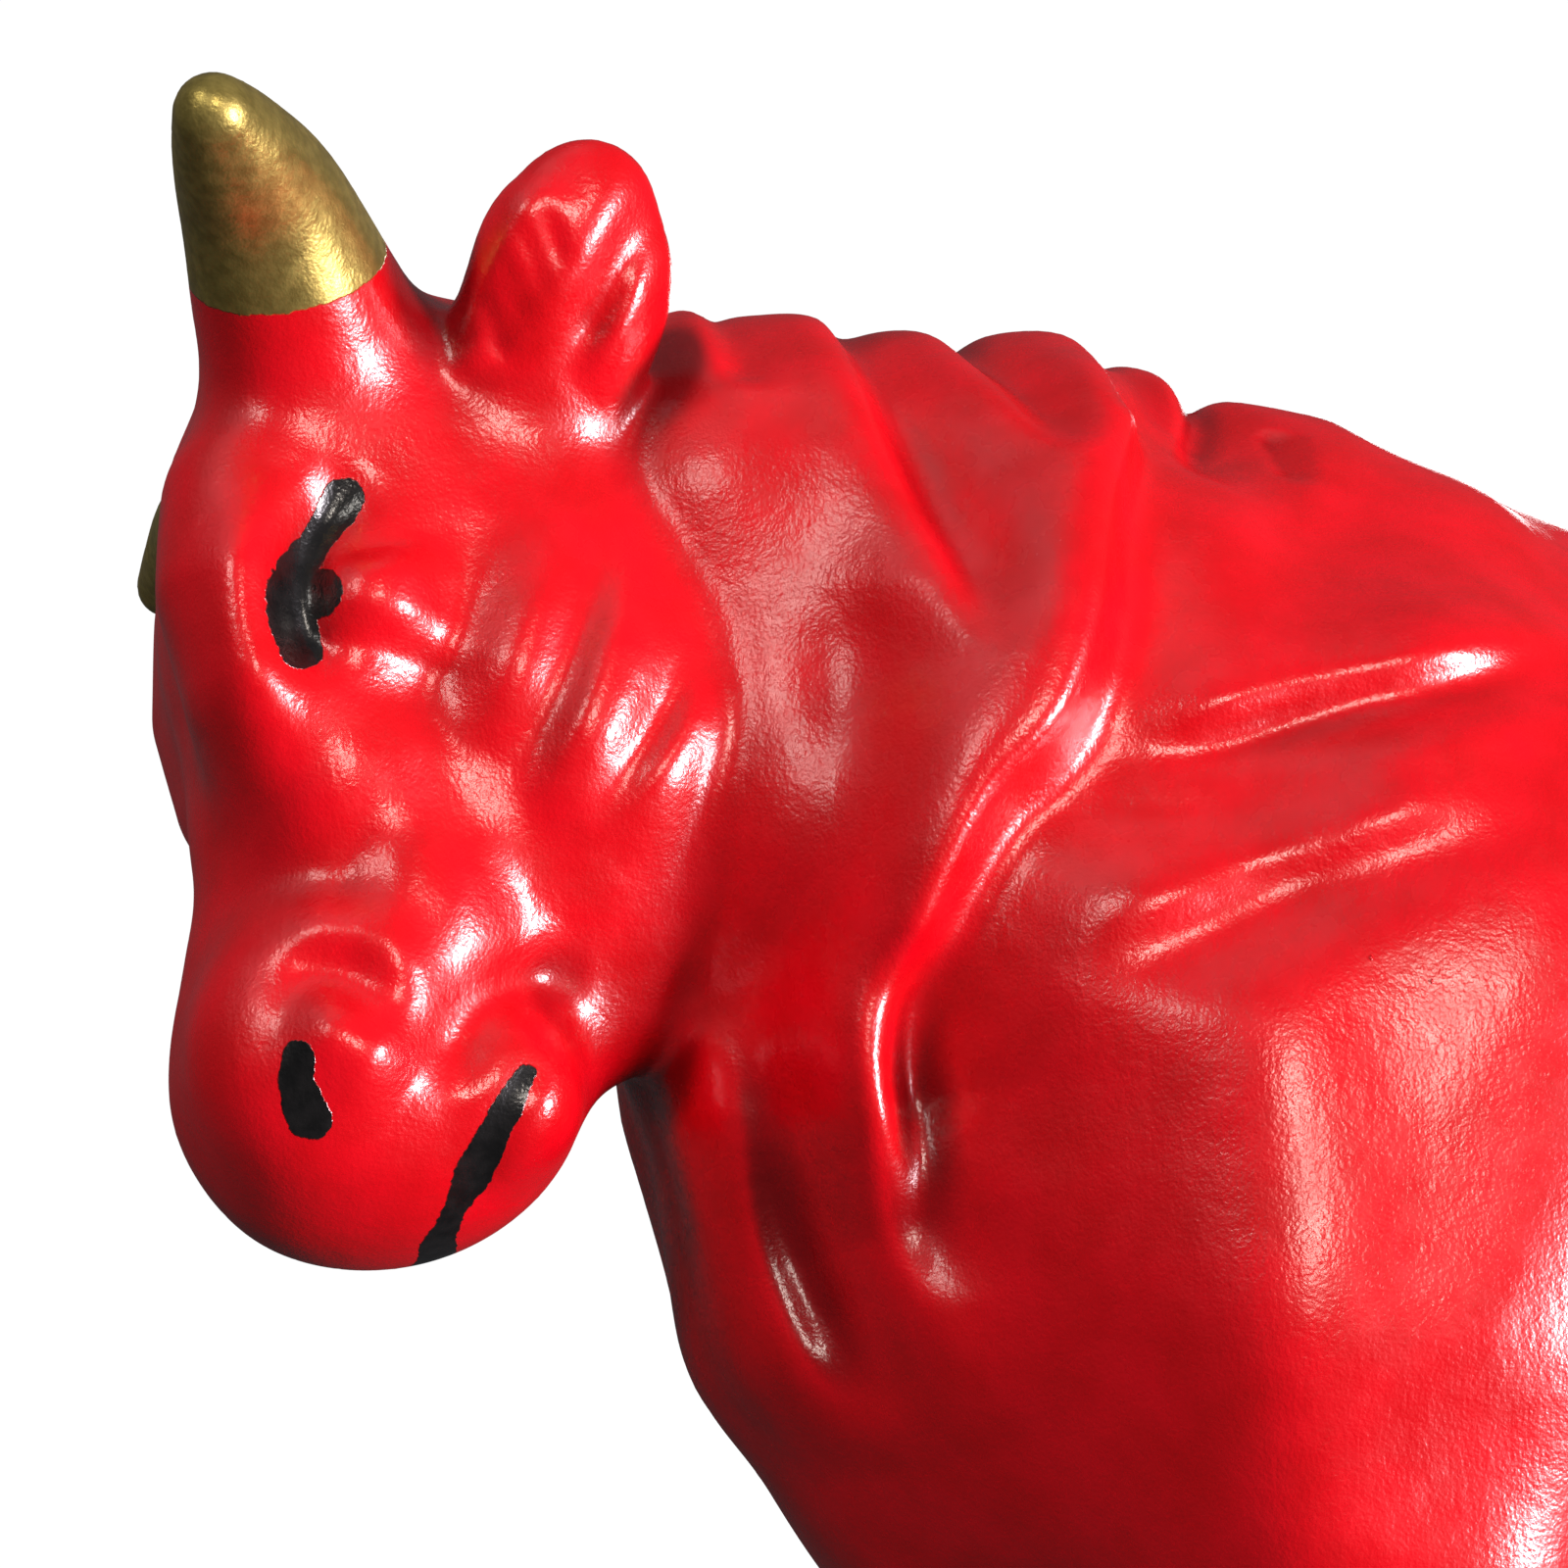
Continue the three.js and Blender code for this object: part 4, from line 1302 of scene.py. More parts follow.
    def vent_block(self) -> bpy.types.Object:
        """Makes the round vent through the wall of the belly.

        Returns:
            The block.
        """
        trunk = self.bull.trunk
        radius, height = trunk.vent_diameter / 2, 2 * trunk.wall
        low = trunk.belly_height - height + trunk.wall
        circle = around(self.vent_sides)
        ring = np.array([(trunk.vent_x + radius * x, radius * y, low) for x, y in circle])
        return self.extruded("vent", ring, ring + [0.0, 0.0, 2 * height])

    def carve(
        self, piece: bpy.types.Object, keep: Sequence[bpy.types.Object], cut: Sequence[bpy.types.Object]
    ) -> None:
        """Keeps what of a piece is inside some blocks and outside others.

        Args:
            piece: The piece, whose mesh is replaced.
            keep: The blocks whose inside is kept.
            cut: The blocks whose inside is taken away.
        """
        for operation, blocks in (("INTERSECT", keep), ("DIFFERENCE", cut)):
            for block in blocks:
                modifier = piece.modifiers.new("cut", "BOOLEAN")
                modifier.solver = "MANIFOLD"
                modifier.operation = operation
                modifier.object = block
        depsgraph = bpy.context.evaluated_depsgraph_get()
        carved = bpy.data.meshes.new_from_object(piece.evaluated_get(depsgraph))
        piece.modifiers.clear()
        plain = piece.data
        piece.data = carved
        bpy.data.meshes.remove(plain)

    def put_away(self) -> None:
        """Removes the blocks."""
        flat = (self.behind_jaw, self.behind_fold, self.above_legs, self.leg_room)
        for block in (*flat, self.hollow, self.vent, *self.horns.values(), *self.ears.values()):
            bpy.data.objects.remove(block)


@dataclass(frozen=True)
class Ink:
    """A black brush stroke on the face: spots (across, up, radius) as the painter saw that side of it."""

    spots: Sequence[tuple[float, float, float]]

    def distance(self, seen: Array) -> Array:
        """The distance of each seen point from the stroke's edge, negative under the paint."""
        return Limb([(a, b, 0.0, radius) for a, b, radius in self.spots])(seen)


@dataclass(frozen=True)
class Brushwork:
    """Where the black and the gold lie."""

    azimuth: float = -15.0
    elevation: float = -8.0
    strokes: Sequence[Ink] = (
        Ink(((-5.2, 16.6, 1.5), (-6.2, 14.8, 1.35), (-7.0, 13.2, 1.1), (-8.0, 11.4, 1.25),
             (-8.2, 9.4, 1.45))),
        Ink(((-8.2, 9.4, 1.45), (-7.9, 7.6, 1.4), (-7.2, 5.4, 1.2))),
        Ink(((-6.9, 9.7, 1.75), (-6.2, 9.7, 1.7))),
        Ink(((-6.1, -22.0, 1.2), (-6.3, -23.4, 1.25), (-5.9, -24.8, 1.4), (-5.4, -26.0, 1.5))),
        Ink(((-6.1, -28.5, 0.12), (-6.1, -29.1, 0.1))),
        Ink(((8.5, -23.6, 0.7), (7.4, -25.7, 1.0), (6.0, -28.3, 1.15), (4.6, -31.0, 1.2),
             (3.4, -33.1, 0.75))),
        Ink(((3.4, -33.1, 0.75), (2.7, -34.6, 0.8), (1.8, -36.6, 1.2), (1.4, -38.0, 1.3))),
    )

    def ink(self, points: Array, head: Head) -> Array:
        """Measures points against the black paint, as the painter saw them.

        Args:
            points: Points of the figure.
            head: The head that is painted.

        Returns:
            The distance of each point from the paint's edge, negative under it.
        """
        across, up, _ = sight(self.azimuth, self.elevation)
        local = mirrored(head.local(points))
        local[:, 1] *= -1.0
        view = np.stack([across, up, np.zeros(3)], axis=1)
        seen = local @ (head.axes() @ view).astype(np.float32)
        return reduce(np.minimum, [stroke.distance(seen) for stroke in self.strokes])

    def gold(self, points: Array, head: Head, horn: Horn) -> Array:
        """The distance of each point below the paint line of its horn, negative on the gold."""
        axis = np.array(horn.gold_axis) / np.linalg.norm(horn.gold_axis)
        return horn.gold_start - (horn.upright(head.local(points)) - np.array(horn.seat_point())) @ axis


def sight(azimuth: float, elevation: float) -> tuple[Array, Array, Array]:
    """The right, the up and the backward direction of a view.

    Args:
        azimuth: Degrees round from the left side of the bull towards its tail.
        elevation: Degrees above the horizon.

    Returns:
        The three unit directions.
    """
    a, e = math.radians(azimuth), math.radians(elevation)
    back = np.array([math.sin(a) * math.cos(e), -math.cos(a) * math.cos(e), math.sin(e)])
    right = np.array([math.cos(a), math.sin(a), 0.0])
    return right, np.cross(back, right), back


class Signal:
    """A node's socket in an expression: arithmetic on it adds Math nodes."""

    def __init__(self, bench: "Bench", socket: bpy.types.NodeSocket) -> None:
        """Wraps an output socket."""
        self.bench, self.socket = bench, socket

    def __add__(self, other: "Signal | float") -> "Signal":
        """This value plus another."""
        return self.bench.maths("ADD", self, other)

    def __mul__(self, other: "Signal | float") -> "Signal":
        """This value times another."""
        return self.bench.maths("MULTIPLY", self, other)

    def __sub__(self, other: "Signal | float") -> "Signal":
        """This value less another."""
        return self.bench.maths("SUBTRACT", self, other)

    def __rsub__(self, other: float) -> "Signal":
        """Another value less this one."""
        return self.bench.maths("SUBTRACT", other, self)

    __radd__ = __add__
    __rmul__ = __mul__


class Bench:
    """Builds the nodes of one tree."""

    def __init__(self, tree: bpy.types.NodeTree) -> None:
        """Starts on an empty tree."""
        self.tree = tree
        tree.nodes.clear()

    def node(self, kind: str, settings: Settings, inputs: Inputs) -> bpy.types.Node:
        """Adds a node.

        Args:
            kind: The node's type.
            settings: Its properties, set first.
            inputs: Values or signals for its sockets, by name or number.

        Returns:
            The node.
        """
        node = self.tree.nodes.new(kind)
        for name, value in settings.items():
            setattr(node, name, value)
        for name, value in inputs.items():
            self.feed(node.inputs[name], value)
        return node

    def feed(self, socket: bpy.types.NodeSocket, value: object) -> None:
        """Links a signal to a socket, or sets a plain value on it.

        Args:
            socket: The input socket.
            value: The signal or the value.
        """
        if isinstance(value, Signal):
            self.tree.links.new(value.socket, socket)
        else:
            socket.default_value = value

    def signal(self, kind: str, settings: Settings, inputs: Inputs, output: str) -> Signal:
        """Adds a node and returns one of its outputs as a signal."""
        return Signal(self, self.node(kind, settings, inputs).outputs[output])

    def maths(self, operation: str, *values: "Signal | float") -> Signal:
        """Adds a Math node to its values."""
        return self.signal("ShaderNodeMath", {"operation": operation}, dict(enumerate(values)), "Value")

    def step(self, value: Signal, low: Signal | float, high: Signal | float) -> Signal:
        """A share that rises smoothly from 0 at low to 1 at high, or falls where low is above high."""
        limits = {"Value": value, "From Min": low, "From Max": high}
        return self.signal("ShaderNodeMapRange", {"interpolation_type": "SMOOTHSTEP"}, limits, "Result")

    def mix(self, share: Signal, first: object, second: object) -> Signal:
        """A colour between two, the first at 0 and the second at 1."""
        node = self.node("ShaderNodeMix", {"data_type": "RGBA"}, {0: share, 6: first, 7: second})
        return Signal(self, node.outputs[2])

    def attribute(self, name: str) -> Signal:
        """A number kept on the mesh."""
        return self.signal("ShaderNodeAttribute", {"attribute_name": name}, {}, "Fac")


class Grain:
    """The noise of a painted surface, at real sizes, around zero."""

    def __init__(self, bench: Bench) -> None:
        """Reads the object's own coordinates."""
        self.bench = bench
        self.place = bench.signal("ShaderNodeTexCoord", {}, {}, "Object")

    def noise(self, size: float, detail: float = 2.0, stretch: Point = (1.0, 1.0, 1.0)) -> Signal:
        """Noise whose features are about a size in millimetres, from -0.5 to 0.5.

        Args:
            size: The size of a feature.
            detail: How many finer octaves it has.
            stretch: How much longer the features are along each axis.

        Returns:
            The noise.
        """
        scale = tuple(1.0 / (size * MM * way) for way in stretch)
        mapped = {"Vector": self.place, "Scale": scale}
        place = self.bench.signal("ShaderNodeMapping", {}, mapped, "Vector")
        octaves = {"Vector": place, "Scale": 1.0, "Detail": detail, "Roughness": 0.5}
        return self.bench.signal("ShaderNodeTexNoise", {}, octaves, "Fac") - 0.5


@dataclass(frozen=True)
class Coat:
    """One coat of paint, or the bare clay: its colour and how it takes the light."""

    colour: Point
    deep: Point  # the colour where it lies thicker
    roughness: float
    patchy: float  # how far the roughness wanders
    metallic: float = 0.0
    patch: float = 6.0  # size of a patch, in millimetres
    contrast: float = 0.22  # the noise at which a patch is at its thickest

    def shade(self, bench: Bench, grain: Grain) -> tuple[Signal, Signal]:
        """Spreads the coat over the surface, thicker in patches.

        Args:
            bench: Where the nodes are built.
            grain: The surface's noise.

        Returns:
            The coat's colour and roughness.
        """
        share = bench.step(grain.noise(self.patch, 4.0), -self.contrast, self.contrast)
        colour = bench.mix(share, (*self.colour, 1.0), (*self.deep, 1.0))
        return colour, self.roughness + self.patchy * grain.noise(2.4, 3.0)


RED = Coat((0.86, 0.0010, 0.010), (0.70, 0.0006, 0.005), roughness=0.27, patchy=0.16)
INK = Coat((0.012, 0.011, 0.011), (0.004, 0.004, 0.004), roughness=0.26, patchy=0.2, patch=1.2)
GOLD = Coat((0.62, 0.48, 0.13), (0.42, 0.32, 0.08), roughness=0.38, patchy=0.3, metallic=0.8, patch=0.9)
CLAY = Coat((0.62, 0.55, 0.47), (0.50, 0.43, 0.36), roughness=0.85, patchy=0.1, patch=3.0)


@dataclass(frozen=True)
class Finish:
    """Red paint with further coats over it, each where its distance kept on the mesh is negative."""

    name: str
    over: Sequence[tuple[str, Coat]]
    painted_shade_colour: Point = (0.13, 0.0002, 0.0015)  # painted shade: a darker red laid into the folds and recesses where the skin lies in shadow
    painted_shade_strength: float = 0.8  # how far the painted shade takes over in the deepest folds
    painted_shade_range: tuple[float, float] = (0.10, 0.55)  # how shut in a point must be for the painted shade to begin and to be full
    peel: float = 0.030  # height of the spray's orange peel, in millimetres
    fine: float = 0.030  # height of the finest grain
    brush: float = 0.02  # height of the brush marks
    waves: float = 0.12  # height of the paint's slow waves
    film: float = 0.05  # thickness of a coat that lies over another
    ragged: float = 0.5  # how far a painted edge wanders
    edge: float = 0.05  # how far it thins out
    gloss: float = 0.8

    def material(self) -> bpy.types.Material:
        """Builds the material.

        Returns:
            The material.
        """
        made = bpy.data.materials.new(self.name)
        made.use_nodes = True
        bench = Bench(made.node_tree)
        grain = Grain(bench)
        colour, rough = RED.shade(bench, grain)
        # painted shade: the red is darkened towards a near-black red where the skin is shut in by folds
        shade_share = self.painted_shade_strength * bench.step(bench.attribute("pool"), *self.painted_shade_range)
        colour = bench.mix(shade_share, colour, (*self.painted_shade_colour, 1.0))
        metallic: Signal | float = 0.0
        height = self.relief(grain)
        for attribute, coat in self.over:
            wander = self.ragged * (grain.noise(1.6, 3.0) + 0.5 * grain.noise(0.45, 1.0))
            share = bench.step(bench.attribute(attribute) + wander, self.edge, -self.edge)
            coat_colour, coat_rough = coat.shade(bench, grain)
            colour = bench.mix(share, colour, coat_colour)
            rough = rough + share * (coat_rough - rough)
            metallic = metallic + share * (coat.metallic - metallic)
            height = height + self.film * share
        raised = {"Strength": 1.0, "Distance": MM, "Height": height}
        bump = bench.signal("ShaderNodeBump", {}, raised, "Normal")
        shader = bench.signal("ShaderNodeBsdfPrincipled", {}, {
            "Base Color": colour, "Roughness": rough, "Metallic": metallic, "Normal": bump,
            "Coat Weight": 0.0, "Specular IOR Level": self.gloss,
        }, "BSDF")
        bench.node("ShaderNodeOutputMaterial", {}, {"Surface": shader})
        return made

    def relief(self, grain: Grain) -> Signal:
        """Adds up orange peel, fine grain, brush marks and slow waves.

        Args:
            grain: The surface's noise.

        Returns:
            The height of the paint's surface in millimetres.
        """
        peel = self.peel * grain.noise(0.8, 2.0)
        fine = self.fine * grain.noise(0.28, 1.0)
        brush = self.brush * grain.noise(0.7, 2.0, (1.0, 1.0, 5.0))
        return peel + fine + brush + self.waves * grain.noise(5.0, 2.0)


class Figurine:
    """The painted members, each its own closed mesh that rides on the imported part."""

    half_width = 60.0  # more than the figure's, in millimetres
    leg_reach = 34.0  # how far a leg reaches before and behind its place
    crease_angle = 50.0  # the angle in degrees past which an edge stays sharp
    facing = 0.6  # how nearly a face lies with the figure's own form to take its shading
    evened = 0.7  # the reach over which that form is evened
    shade_probe_gaps = (2.5, 6.0)  # how far ahead of the skin a fold's other side is looked for, to place the painted shade

    def __init__(self, bull: Bull) -> None:
        """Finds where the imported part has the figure, and samples the figure's skin.

        Args:
            bull: The figure.
        """
        self.bull = bull
        self.place = self.packed_place()
        head_x = bull.head.centre[0]
        across = graded([(0.0, 0.56), (26.0, 0.65), (50.0, 1.0)])
        along = [
            (head_x - 34, 0.5), (head_x + 26, 0.5), (-45, 0.75), (-20, 1.3), (5, 2.15),
            (60, 2.15), (122, 1.5),
        ]
        upward = [(-3.0, 1.0), (50, 1.0), (80, 0.76), (90, 0.56), (172, 0.56)]
        axes = [graded(along), np.concatenate([-across[:0:-1], across]), graded(upward)]
        self.lattice = Lattice(bull, axes)
        counts = [len(axis) for axis in axes]
        log.info("skin sampled on %s lattice, %d vertices", counts, len(self.lattice.spots))
        self.brushwork = Brushwork()
        self.body_finish = Finish("red_paint", (("ink", INK), ("bare", CLAY))).material()
        self.horn_finish = Finish("gold_paint", (("gold", GOLD), ("bare", CLAY))).material()

    def packed_place(self) -> Matrix:
        """Finds the figure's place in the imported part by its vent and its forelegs.

        Returns:
            The move from the figure's millimetres to the part's metres.
        """
        openings = {row["name"]: row["box_m"] for row in frame["record"]["physics"]["openings"]}
        low, high = openings["vent"]
        middle = (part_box("foreleg_left")[0].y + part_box("foreleg_right")[1].y) / 2
        shift = Vector(((low[0] + high[0]) / 2 - self.bull.trunk.vent_x * MM, middle, 0.0))
        return Matrix.Translation(shift) @ Matrix.Scale(MM, 4)

    def rough_cast(self, name: str, low: Point, high: Point) -> bpy.types.Object:
        """The skin inside a box, as a new piece."""
        return mesh_object(name, *self.lattice.skin(low, high))

    def members(self, knife: Knife) -> dict[str, bpy.types.Object]:
        """Casts every member and parts it from its neighbours.

        Args:
            knife: The blocks to cut with.

        Returns:
            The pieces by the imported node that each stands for.
        """
        wide, legs = self.half_width, self.bull.legs
        x, _, z = self.bull.head.centre
        trunk = self.rough_cast("painted_trunk", (-76, -wide, 44), (200, wide, 200))
        knife.carve(trunk, [knife.behind_fold, knife.above_legs], [knife.hollow, knife.vent])
        neck = self.rough_cast("painted_neck", (x, -wide, 44), (-8, wide, 200))
        knife.carve(neck, [knife.behind_jaw, knife.above_legs], [knife.behind_fold, knife.hollow])
        pieces = {"trunk": trunk, "neck": neck}
        head_low, head_high = (x - 60, -wide, z - 48), (x + 36, wide, z + 60)
        head = self.rough_cast("painted_head", head_low, head_high)
        blocks = [*knife.horns.values(), *knife.ears.values()]
        knife.carve(head, [], [knife.behind_jaw, knife.hollow, *blocks])
        pieces["head"] = head
        for side in Side:
            word = side.name.lower()
            horn = self.rough_cast("painted_horn_" + word, head_low, head_high)
            knife.carve(horn, [knife.horns[side]], [knife.behind_jaw])
            ear = self.rough_cast("painted_ear_" + word, head_low, head_high)
            knife.carve(ear, [knife.ears[side]], [knife.behind_jaw, knife.horns[side]])
            pieces["horn_" + word], pieces["ear_" + word] = horn, ear
            for member, place in (("foreleg", legs.foreleg_x), ("hindleg", legs.hindleg_x)):
                low = (place - self.leg_reach, -wide if side is Side.LEFT else 0.0, -20)
                high = (place + self.leg_reach, 0.0 if side is Side.LEFT else wide, 66)
                name = f"{member}_{word}"
                leg = self.rough_cast("painted_" + name, low, high)
                knife.carve(leg, [knife.leg_room], [])
                pieces[name] = leg
        return pieces

    def coordinates(self, mesh: bpy.types.Mesh) -> Array:
        """Reads the vertices of a mesh.

        Args:
            mesh: The mesh.

        Returns:
            Its vertices, one row each.
        """
        flat = np.empty(3 * len(mesh.vertices), np.float32)
        mesh.vertices.foreach_get("co", flat)
        return flat.reshape(-1, 3)

    def keep(self, mesh: bpy.types.Mesh, name: str, values: Array) -> None:
        """Keeps one number for each vertex on a mesh."""
        attribute = mesh.attributes.new(name, "FLOAT", "POINT")
        attribute.data.foreach_set("value", values.astype(np.float32))

    def paint_over(self, mesh: bpy.types.Mesh) -> None:
        """Marks a mesh as red all over."""
        for name, value in (("bare", COVER), ("ink", NO_INK)):
            self.keep(mesh, name, np.full(len(mesh.vertices), value))

    def smooth(self, mesh: bpy.types.Mesh, rise: Array) -> None:
        """Shades the skin by the figure's own form, so that a luted joint is smoothed over.

        Args:
            mesh: The mesh of a member.
            rise: The way out of the figure at each vertex.
        """
        mesh.shade_smooth()
        mesh.set_sharp_from_angle(angle=math.radians(self.crease_angle))
        corners = np.empty(len(mesh.loops), np.int32)
        mesh.loops.foreach_get("vertex_index", corners)
        facing = np.empty(3 * len(mesh.polygons), np.float32)
        mesh.polygons.foreach_get("normal", facing)
        sides = np.empty(len(mesh.polygons), np.int32)
        mesh.polygons.foreach_get("loop_total", sides)
        flat = np.repeat(facing.reshape(-1, 3), sides, axis=0)
        out = (rise / np.maximum(lengths(rise), 1e-6)[:, None])[corners]
        skin = np.einsum("ij,ij->i", flat, out) > self.facing
        mesh.normals_split_custom_set(np.where(skin[:, None], out, 0.0).tolist())

    def pool(self, spots: Array, out: Array) -> Array:
        """Works out how deep in a fold each point lies, to set the shade painted there.

        Args:
            spots: Points on the skin.
            out: The way out of the figure at each point.

        Returns:
            The share of the room in front of each point that other skin takes up, from 0 to 1.
        """
        ahead = out / np.maximum(lengths(out), 1e-6)[:, None]
        taken = [1.0 - self.lattice.field_at(spots + gap * ahead) / gap for gap in self.shade_probe_gaps]
        return np.clip(np.mean(taken, axis=0), 0.0, 1.0)

    def dress(self, node: str, piece: bpy.types.Object) -> None:
        """Marks where the paints lie on a member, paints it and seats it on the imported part.

        Args:
            node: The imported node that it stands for.
            piece: The member, in the figure's millimetres.
        """
        spots = self.coordinates(piece.data)
        depth = -self.lattice.field_at(spots)
        head = self.bull.head
        self.keep(piece.data, "bare", COVER - depth)
        if node.startswith("horn"):
            self.keep(piece.data, "gold", self.brushwork.gold(spots, head, self.bull.horn))
            finish, slot = self.horn_finish, "gold_paint"
        else:
            ink = self.brushwork.ink(spots, head) if node == "head" else depth + NO_INK
            self.keep(piece.data, "ink", ink)
            finish, slot = self.body_finish, "red_paint"
        out = self.lattice.slope_at(spots, self.evened)
        # how shut in each point is, kept for the shade painted into the folds
        self.keep(piece.data, "pool", self.pool(spots, out))
        self.smooth(piece.data, out)
        piece.data.transform(self.place)
        piece.data.materials.clear()
        piece.data.materials.append(finish)
        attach(piece, "root")
        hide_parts(node)
        log.info("%s: %d faces", piece.name, len(piece.data.polygons))


def geometry_tree(
    name: str, floats: Sequence[str], whole: Sequence[str]
) -> tuple[bpy.types.NodeTree, Bench, dict[str, Signal]]:
    """Starts a Geometry Nodes tree with a geometry input and output and named inputs for its sizes.

    Args:
        name: The tree's name.
        floats: The names of its inputs for sizes.
        whole: The names of its inputs for whole numbers.

    Returns:
        The tree, its bench and its inputs by name.
    """
    tree = bpy.data.node_groups.new(name, "GeometryNodeTree")
    tree.interface.new_socket("Geometry", in_out="INPUT", socket_type="NodeSocketGeometry")
    for labels, kind in ((floats, "NodeSocketFloat"), (whole, "NodeSocketInt")):
        for label in labels:
            tree.interface.new_socket(label, in_out="INPUT", socket_type=kind)
    tree.interface.new_socket("Geometry", in_out="OUTPUT", socket_type="NodeSocketGeometry")
    bench = Bench(tree)
    source = bench.node("NodeGroupInput", {}, {})
    return tree, bench, {socket.name: Signal(bench, socket) for socket in source.outputs if socket.name}


def painted(bench: Bench, shape: Signal, finish: bpy.types.Material) -> None:
    """Makes a Geometry Nodes tree's result real, smooth and painted, and puts it out.

    Args:
        bench: Where the nodes are built.
        shape: The result.
        finish: Its material.
    """
    real = bench.signal("GeometryNodeRealizeInstances", {}, {"Geometry": shape}, "Geometry")
    smooth = bench.signal("GeometryNodeSetShadeSmooth", {}, {"Geometry": real}, "Geometry")
    coated = {"Geometry": smooth, "Material": finish}
    result = bench.signal("GeometryNodeSetMaterial", {}, coated, "Geometry")
    bench.node("NodeGroupOutput", {}, {"Geometry": result})


def baked(
    source: bpy.types.Object, name: str, tree: bpy.types.NodeTree, sizes: Settings
) -> bpy.types.Object:
    """Runs a Geometry Nodes tree on an object and keeps the result as a plain mesh.

    Args:
        source: The object that the tree reads, which is removed.
        name: The new piece's name.
        tree: The tree.
        sizes: Values for its named inputs.

    Returns:
        The new piece.
    """
    modifier = source.modifiers.new(name, "NODES")
    modifier.node_group = tree
    for item in tree.interface.items_tree:
        if item.in_out == "INPUT" and item.name in sizes:
            modifier[item.identifier] = sizes[item.name]
    source.update_tag()
    depsgraph = bpy.context.evaluated_depsgraph_get()
    mesh = bpy.data.meshes.new_from_object(source.evaluated_get(depsgraph))
    mesh.name = name
    bpy.data.objects.remove(source)
    return linked(name, mesh)


@dataclass(frozen=True)
class Tail:
    """A round tail luted to the rump, that ends in a twisted tuft against the left thigh."""

    radius: float = 4.2
    tuft_radius: float = 6.5
    tuft_length: float = 20.0
    length: float = 62.0
    tuft_start: float = 0.62
    strands: int = 9
    strand_depth: float = 0.8
    twist: float = 1.6
    steps: int = 120
    sides: int = 90
    cap_start: float = 0.985  # share of the length at which the tip begins to round off

    def line(self, trunk: Trunk) -> list[Point]:
        """Lists the points that the tail passes through.

        Args:
            trunk: The trunk that it is luted to.

        Returns:
            The points, from the rump down.
        """
        end, top = trunk.rump_x + trunk.rump_length / 2, trunk.rump_top - 14
        tuft = top - self.length
        return [
            (end - 8, 0, top), (end + 2, -3, top - 9), (end + 4, -13, top - 0.45 * self.length),
            (end, -25, top - 0.75 * self.length), (end - 6, -31, tuft),
            (end - 8, -32, tuft - self.tuft_length / 2), (end - 7, -31, tuft - self.tuft_length + 2),
        ]

    def girth(self, share: float) -> float:
        """Works out how thick the tail is.

        Args:
            share: A share of its length.

        Returns:
            The radius there, rounded off at the tip.
        """
        tuft = max(share - self.tuft_start, 0.0) / (1.0 - self.tuft_start)
        swell = (self.tuft_radius - self.radius * 0.6) * math.sin(math.pi * tuft)
        past = max(share - self.cap_start, 0.0) / (1.0 - self.cap_start + 0.0005)
        return (self.radius * (1.0 - 0.7 * tuft) + swell) * math.sqrt(max(1.0 - past**2, 0.02))

    def path(self, trunk: Trunk, place: Matrix) -> bpy.types.Object:
        """Draws the tail's centreline.

        Args:
            trunk: The trunk that it is luted to.
            place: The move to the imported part's metres.

        Returns:
            A curve whose points hold the tail's radius in millimetres.
        """
        points = np.array(self.line(trunk))
        flat = smooth_line(points[:, :2], self.steps)
        rise = smooth_line(points[:, [0, 2]], self.steps)
        curve = bpy.data.curves.new("tail_path", "CURVE")
        curve.dimensions = "3D"
        spline = curve.splines.new("POLY")
        spline.points.add(self.steps)
        for number, point in enumerate(spline.points):
            point.co = (*(place @ Vector((*flat[number], rise[number, 1]))), 1.0)
            point.radius = self.girth(number / self.steps)
        return linked("tail_path", curve)

    def measured(self, bench: Bench, curve: Signal) -> tuple[Signal, Signal]:
        """Keeps each point's share of a curve's length on the curve.

        Args:
            bench: Where the nodes are built.
            curve: The curve.

        Returns:
            The curve and the shares.
        """
        node = bench.node("GeometryNodeCaptureAttribute", {"domain": "POINT"}, {"Geometry": curve})
        node.capture_items.new("FLOAT", "Share")
        bench.feed(node.inputs[1], bench.signal("GeometryNodeSplineParameter", {}, {}, "Factor"))
        return Signal(bench, node.outputs[0]), Signal(bench, node.outputs[1])

    def tree(self, finish: bpy.types.Material) -> bpy.types.NodeTree:
        """Sweeps a ribbed ring along the path: ribs grow in the tuft and wind round it as locks of hair.

        Args:
            finish: The tail's material.

        Returns:
            The tree.
        """
        names = ("Strands", "Strand Depth", "Twist", "Tuft Start")
        tree, bench, given = geometry_tree("swept_tail", names, ("Sides",))
        size = {"Resolution": given["Sides"], "Radius": MM}
        ring = bench.signal("GeometryNodeCurvePrimitiveCircle", {"mode": "RADIUS"}, size, "Curve")
        path, along = self.measured(bench, given["Geometry"])
        profile, angle = self.measured(bench, ring)
        swept = bench.signal("GeometryNodeCurveToMesh", {}, {
            "Curve": path, "Profile Curve": profile, "Fill Caps": True,
            "Scale": bench.signal("GeometryNodeInputRadius", {}, {}, "Radius"),
        }, "Mesh")
        start = given["Tuft Start"]
        hair = bench.step(along, start - 0.06, start + 0.12)
        phase = (angle + given["Twist"] * along) * (2 * math.pi) * given["Strands"]
        lock = bench.maths("SINE", phase) * given["Strand Depth"] * hair
        normal = bench.signal("GeometryNodeInputNormal", {}, {}, "Normal")
        scaled = {0: normal, "Scale": lock}
        push = bench.signal("ShaderNodeVectorMath", {"operation": "SCALE"}, scaled, "Vector")
        moved = {"Geometry": swept, "Offset": push}
        painted(bench, bench.signal("GeometryNodeSetPosition", {}, moved, "Geometry"), finish)
        return tree

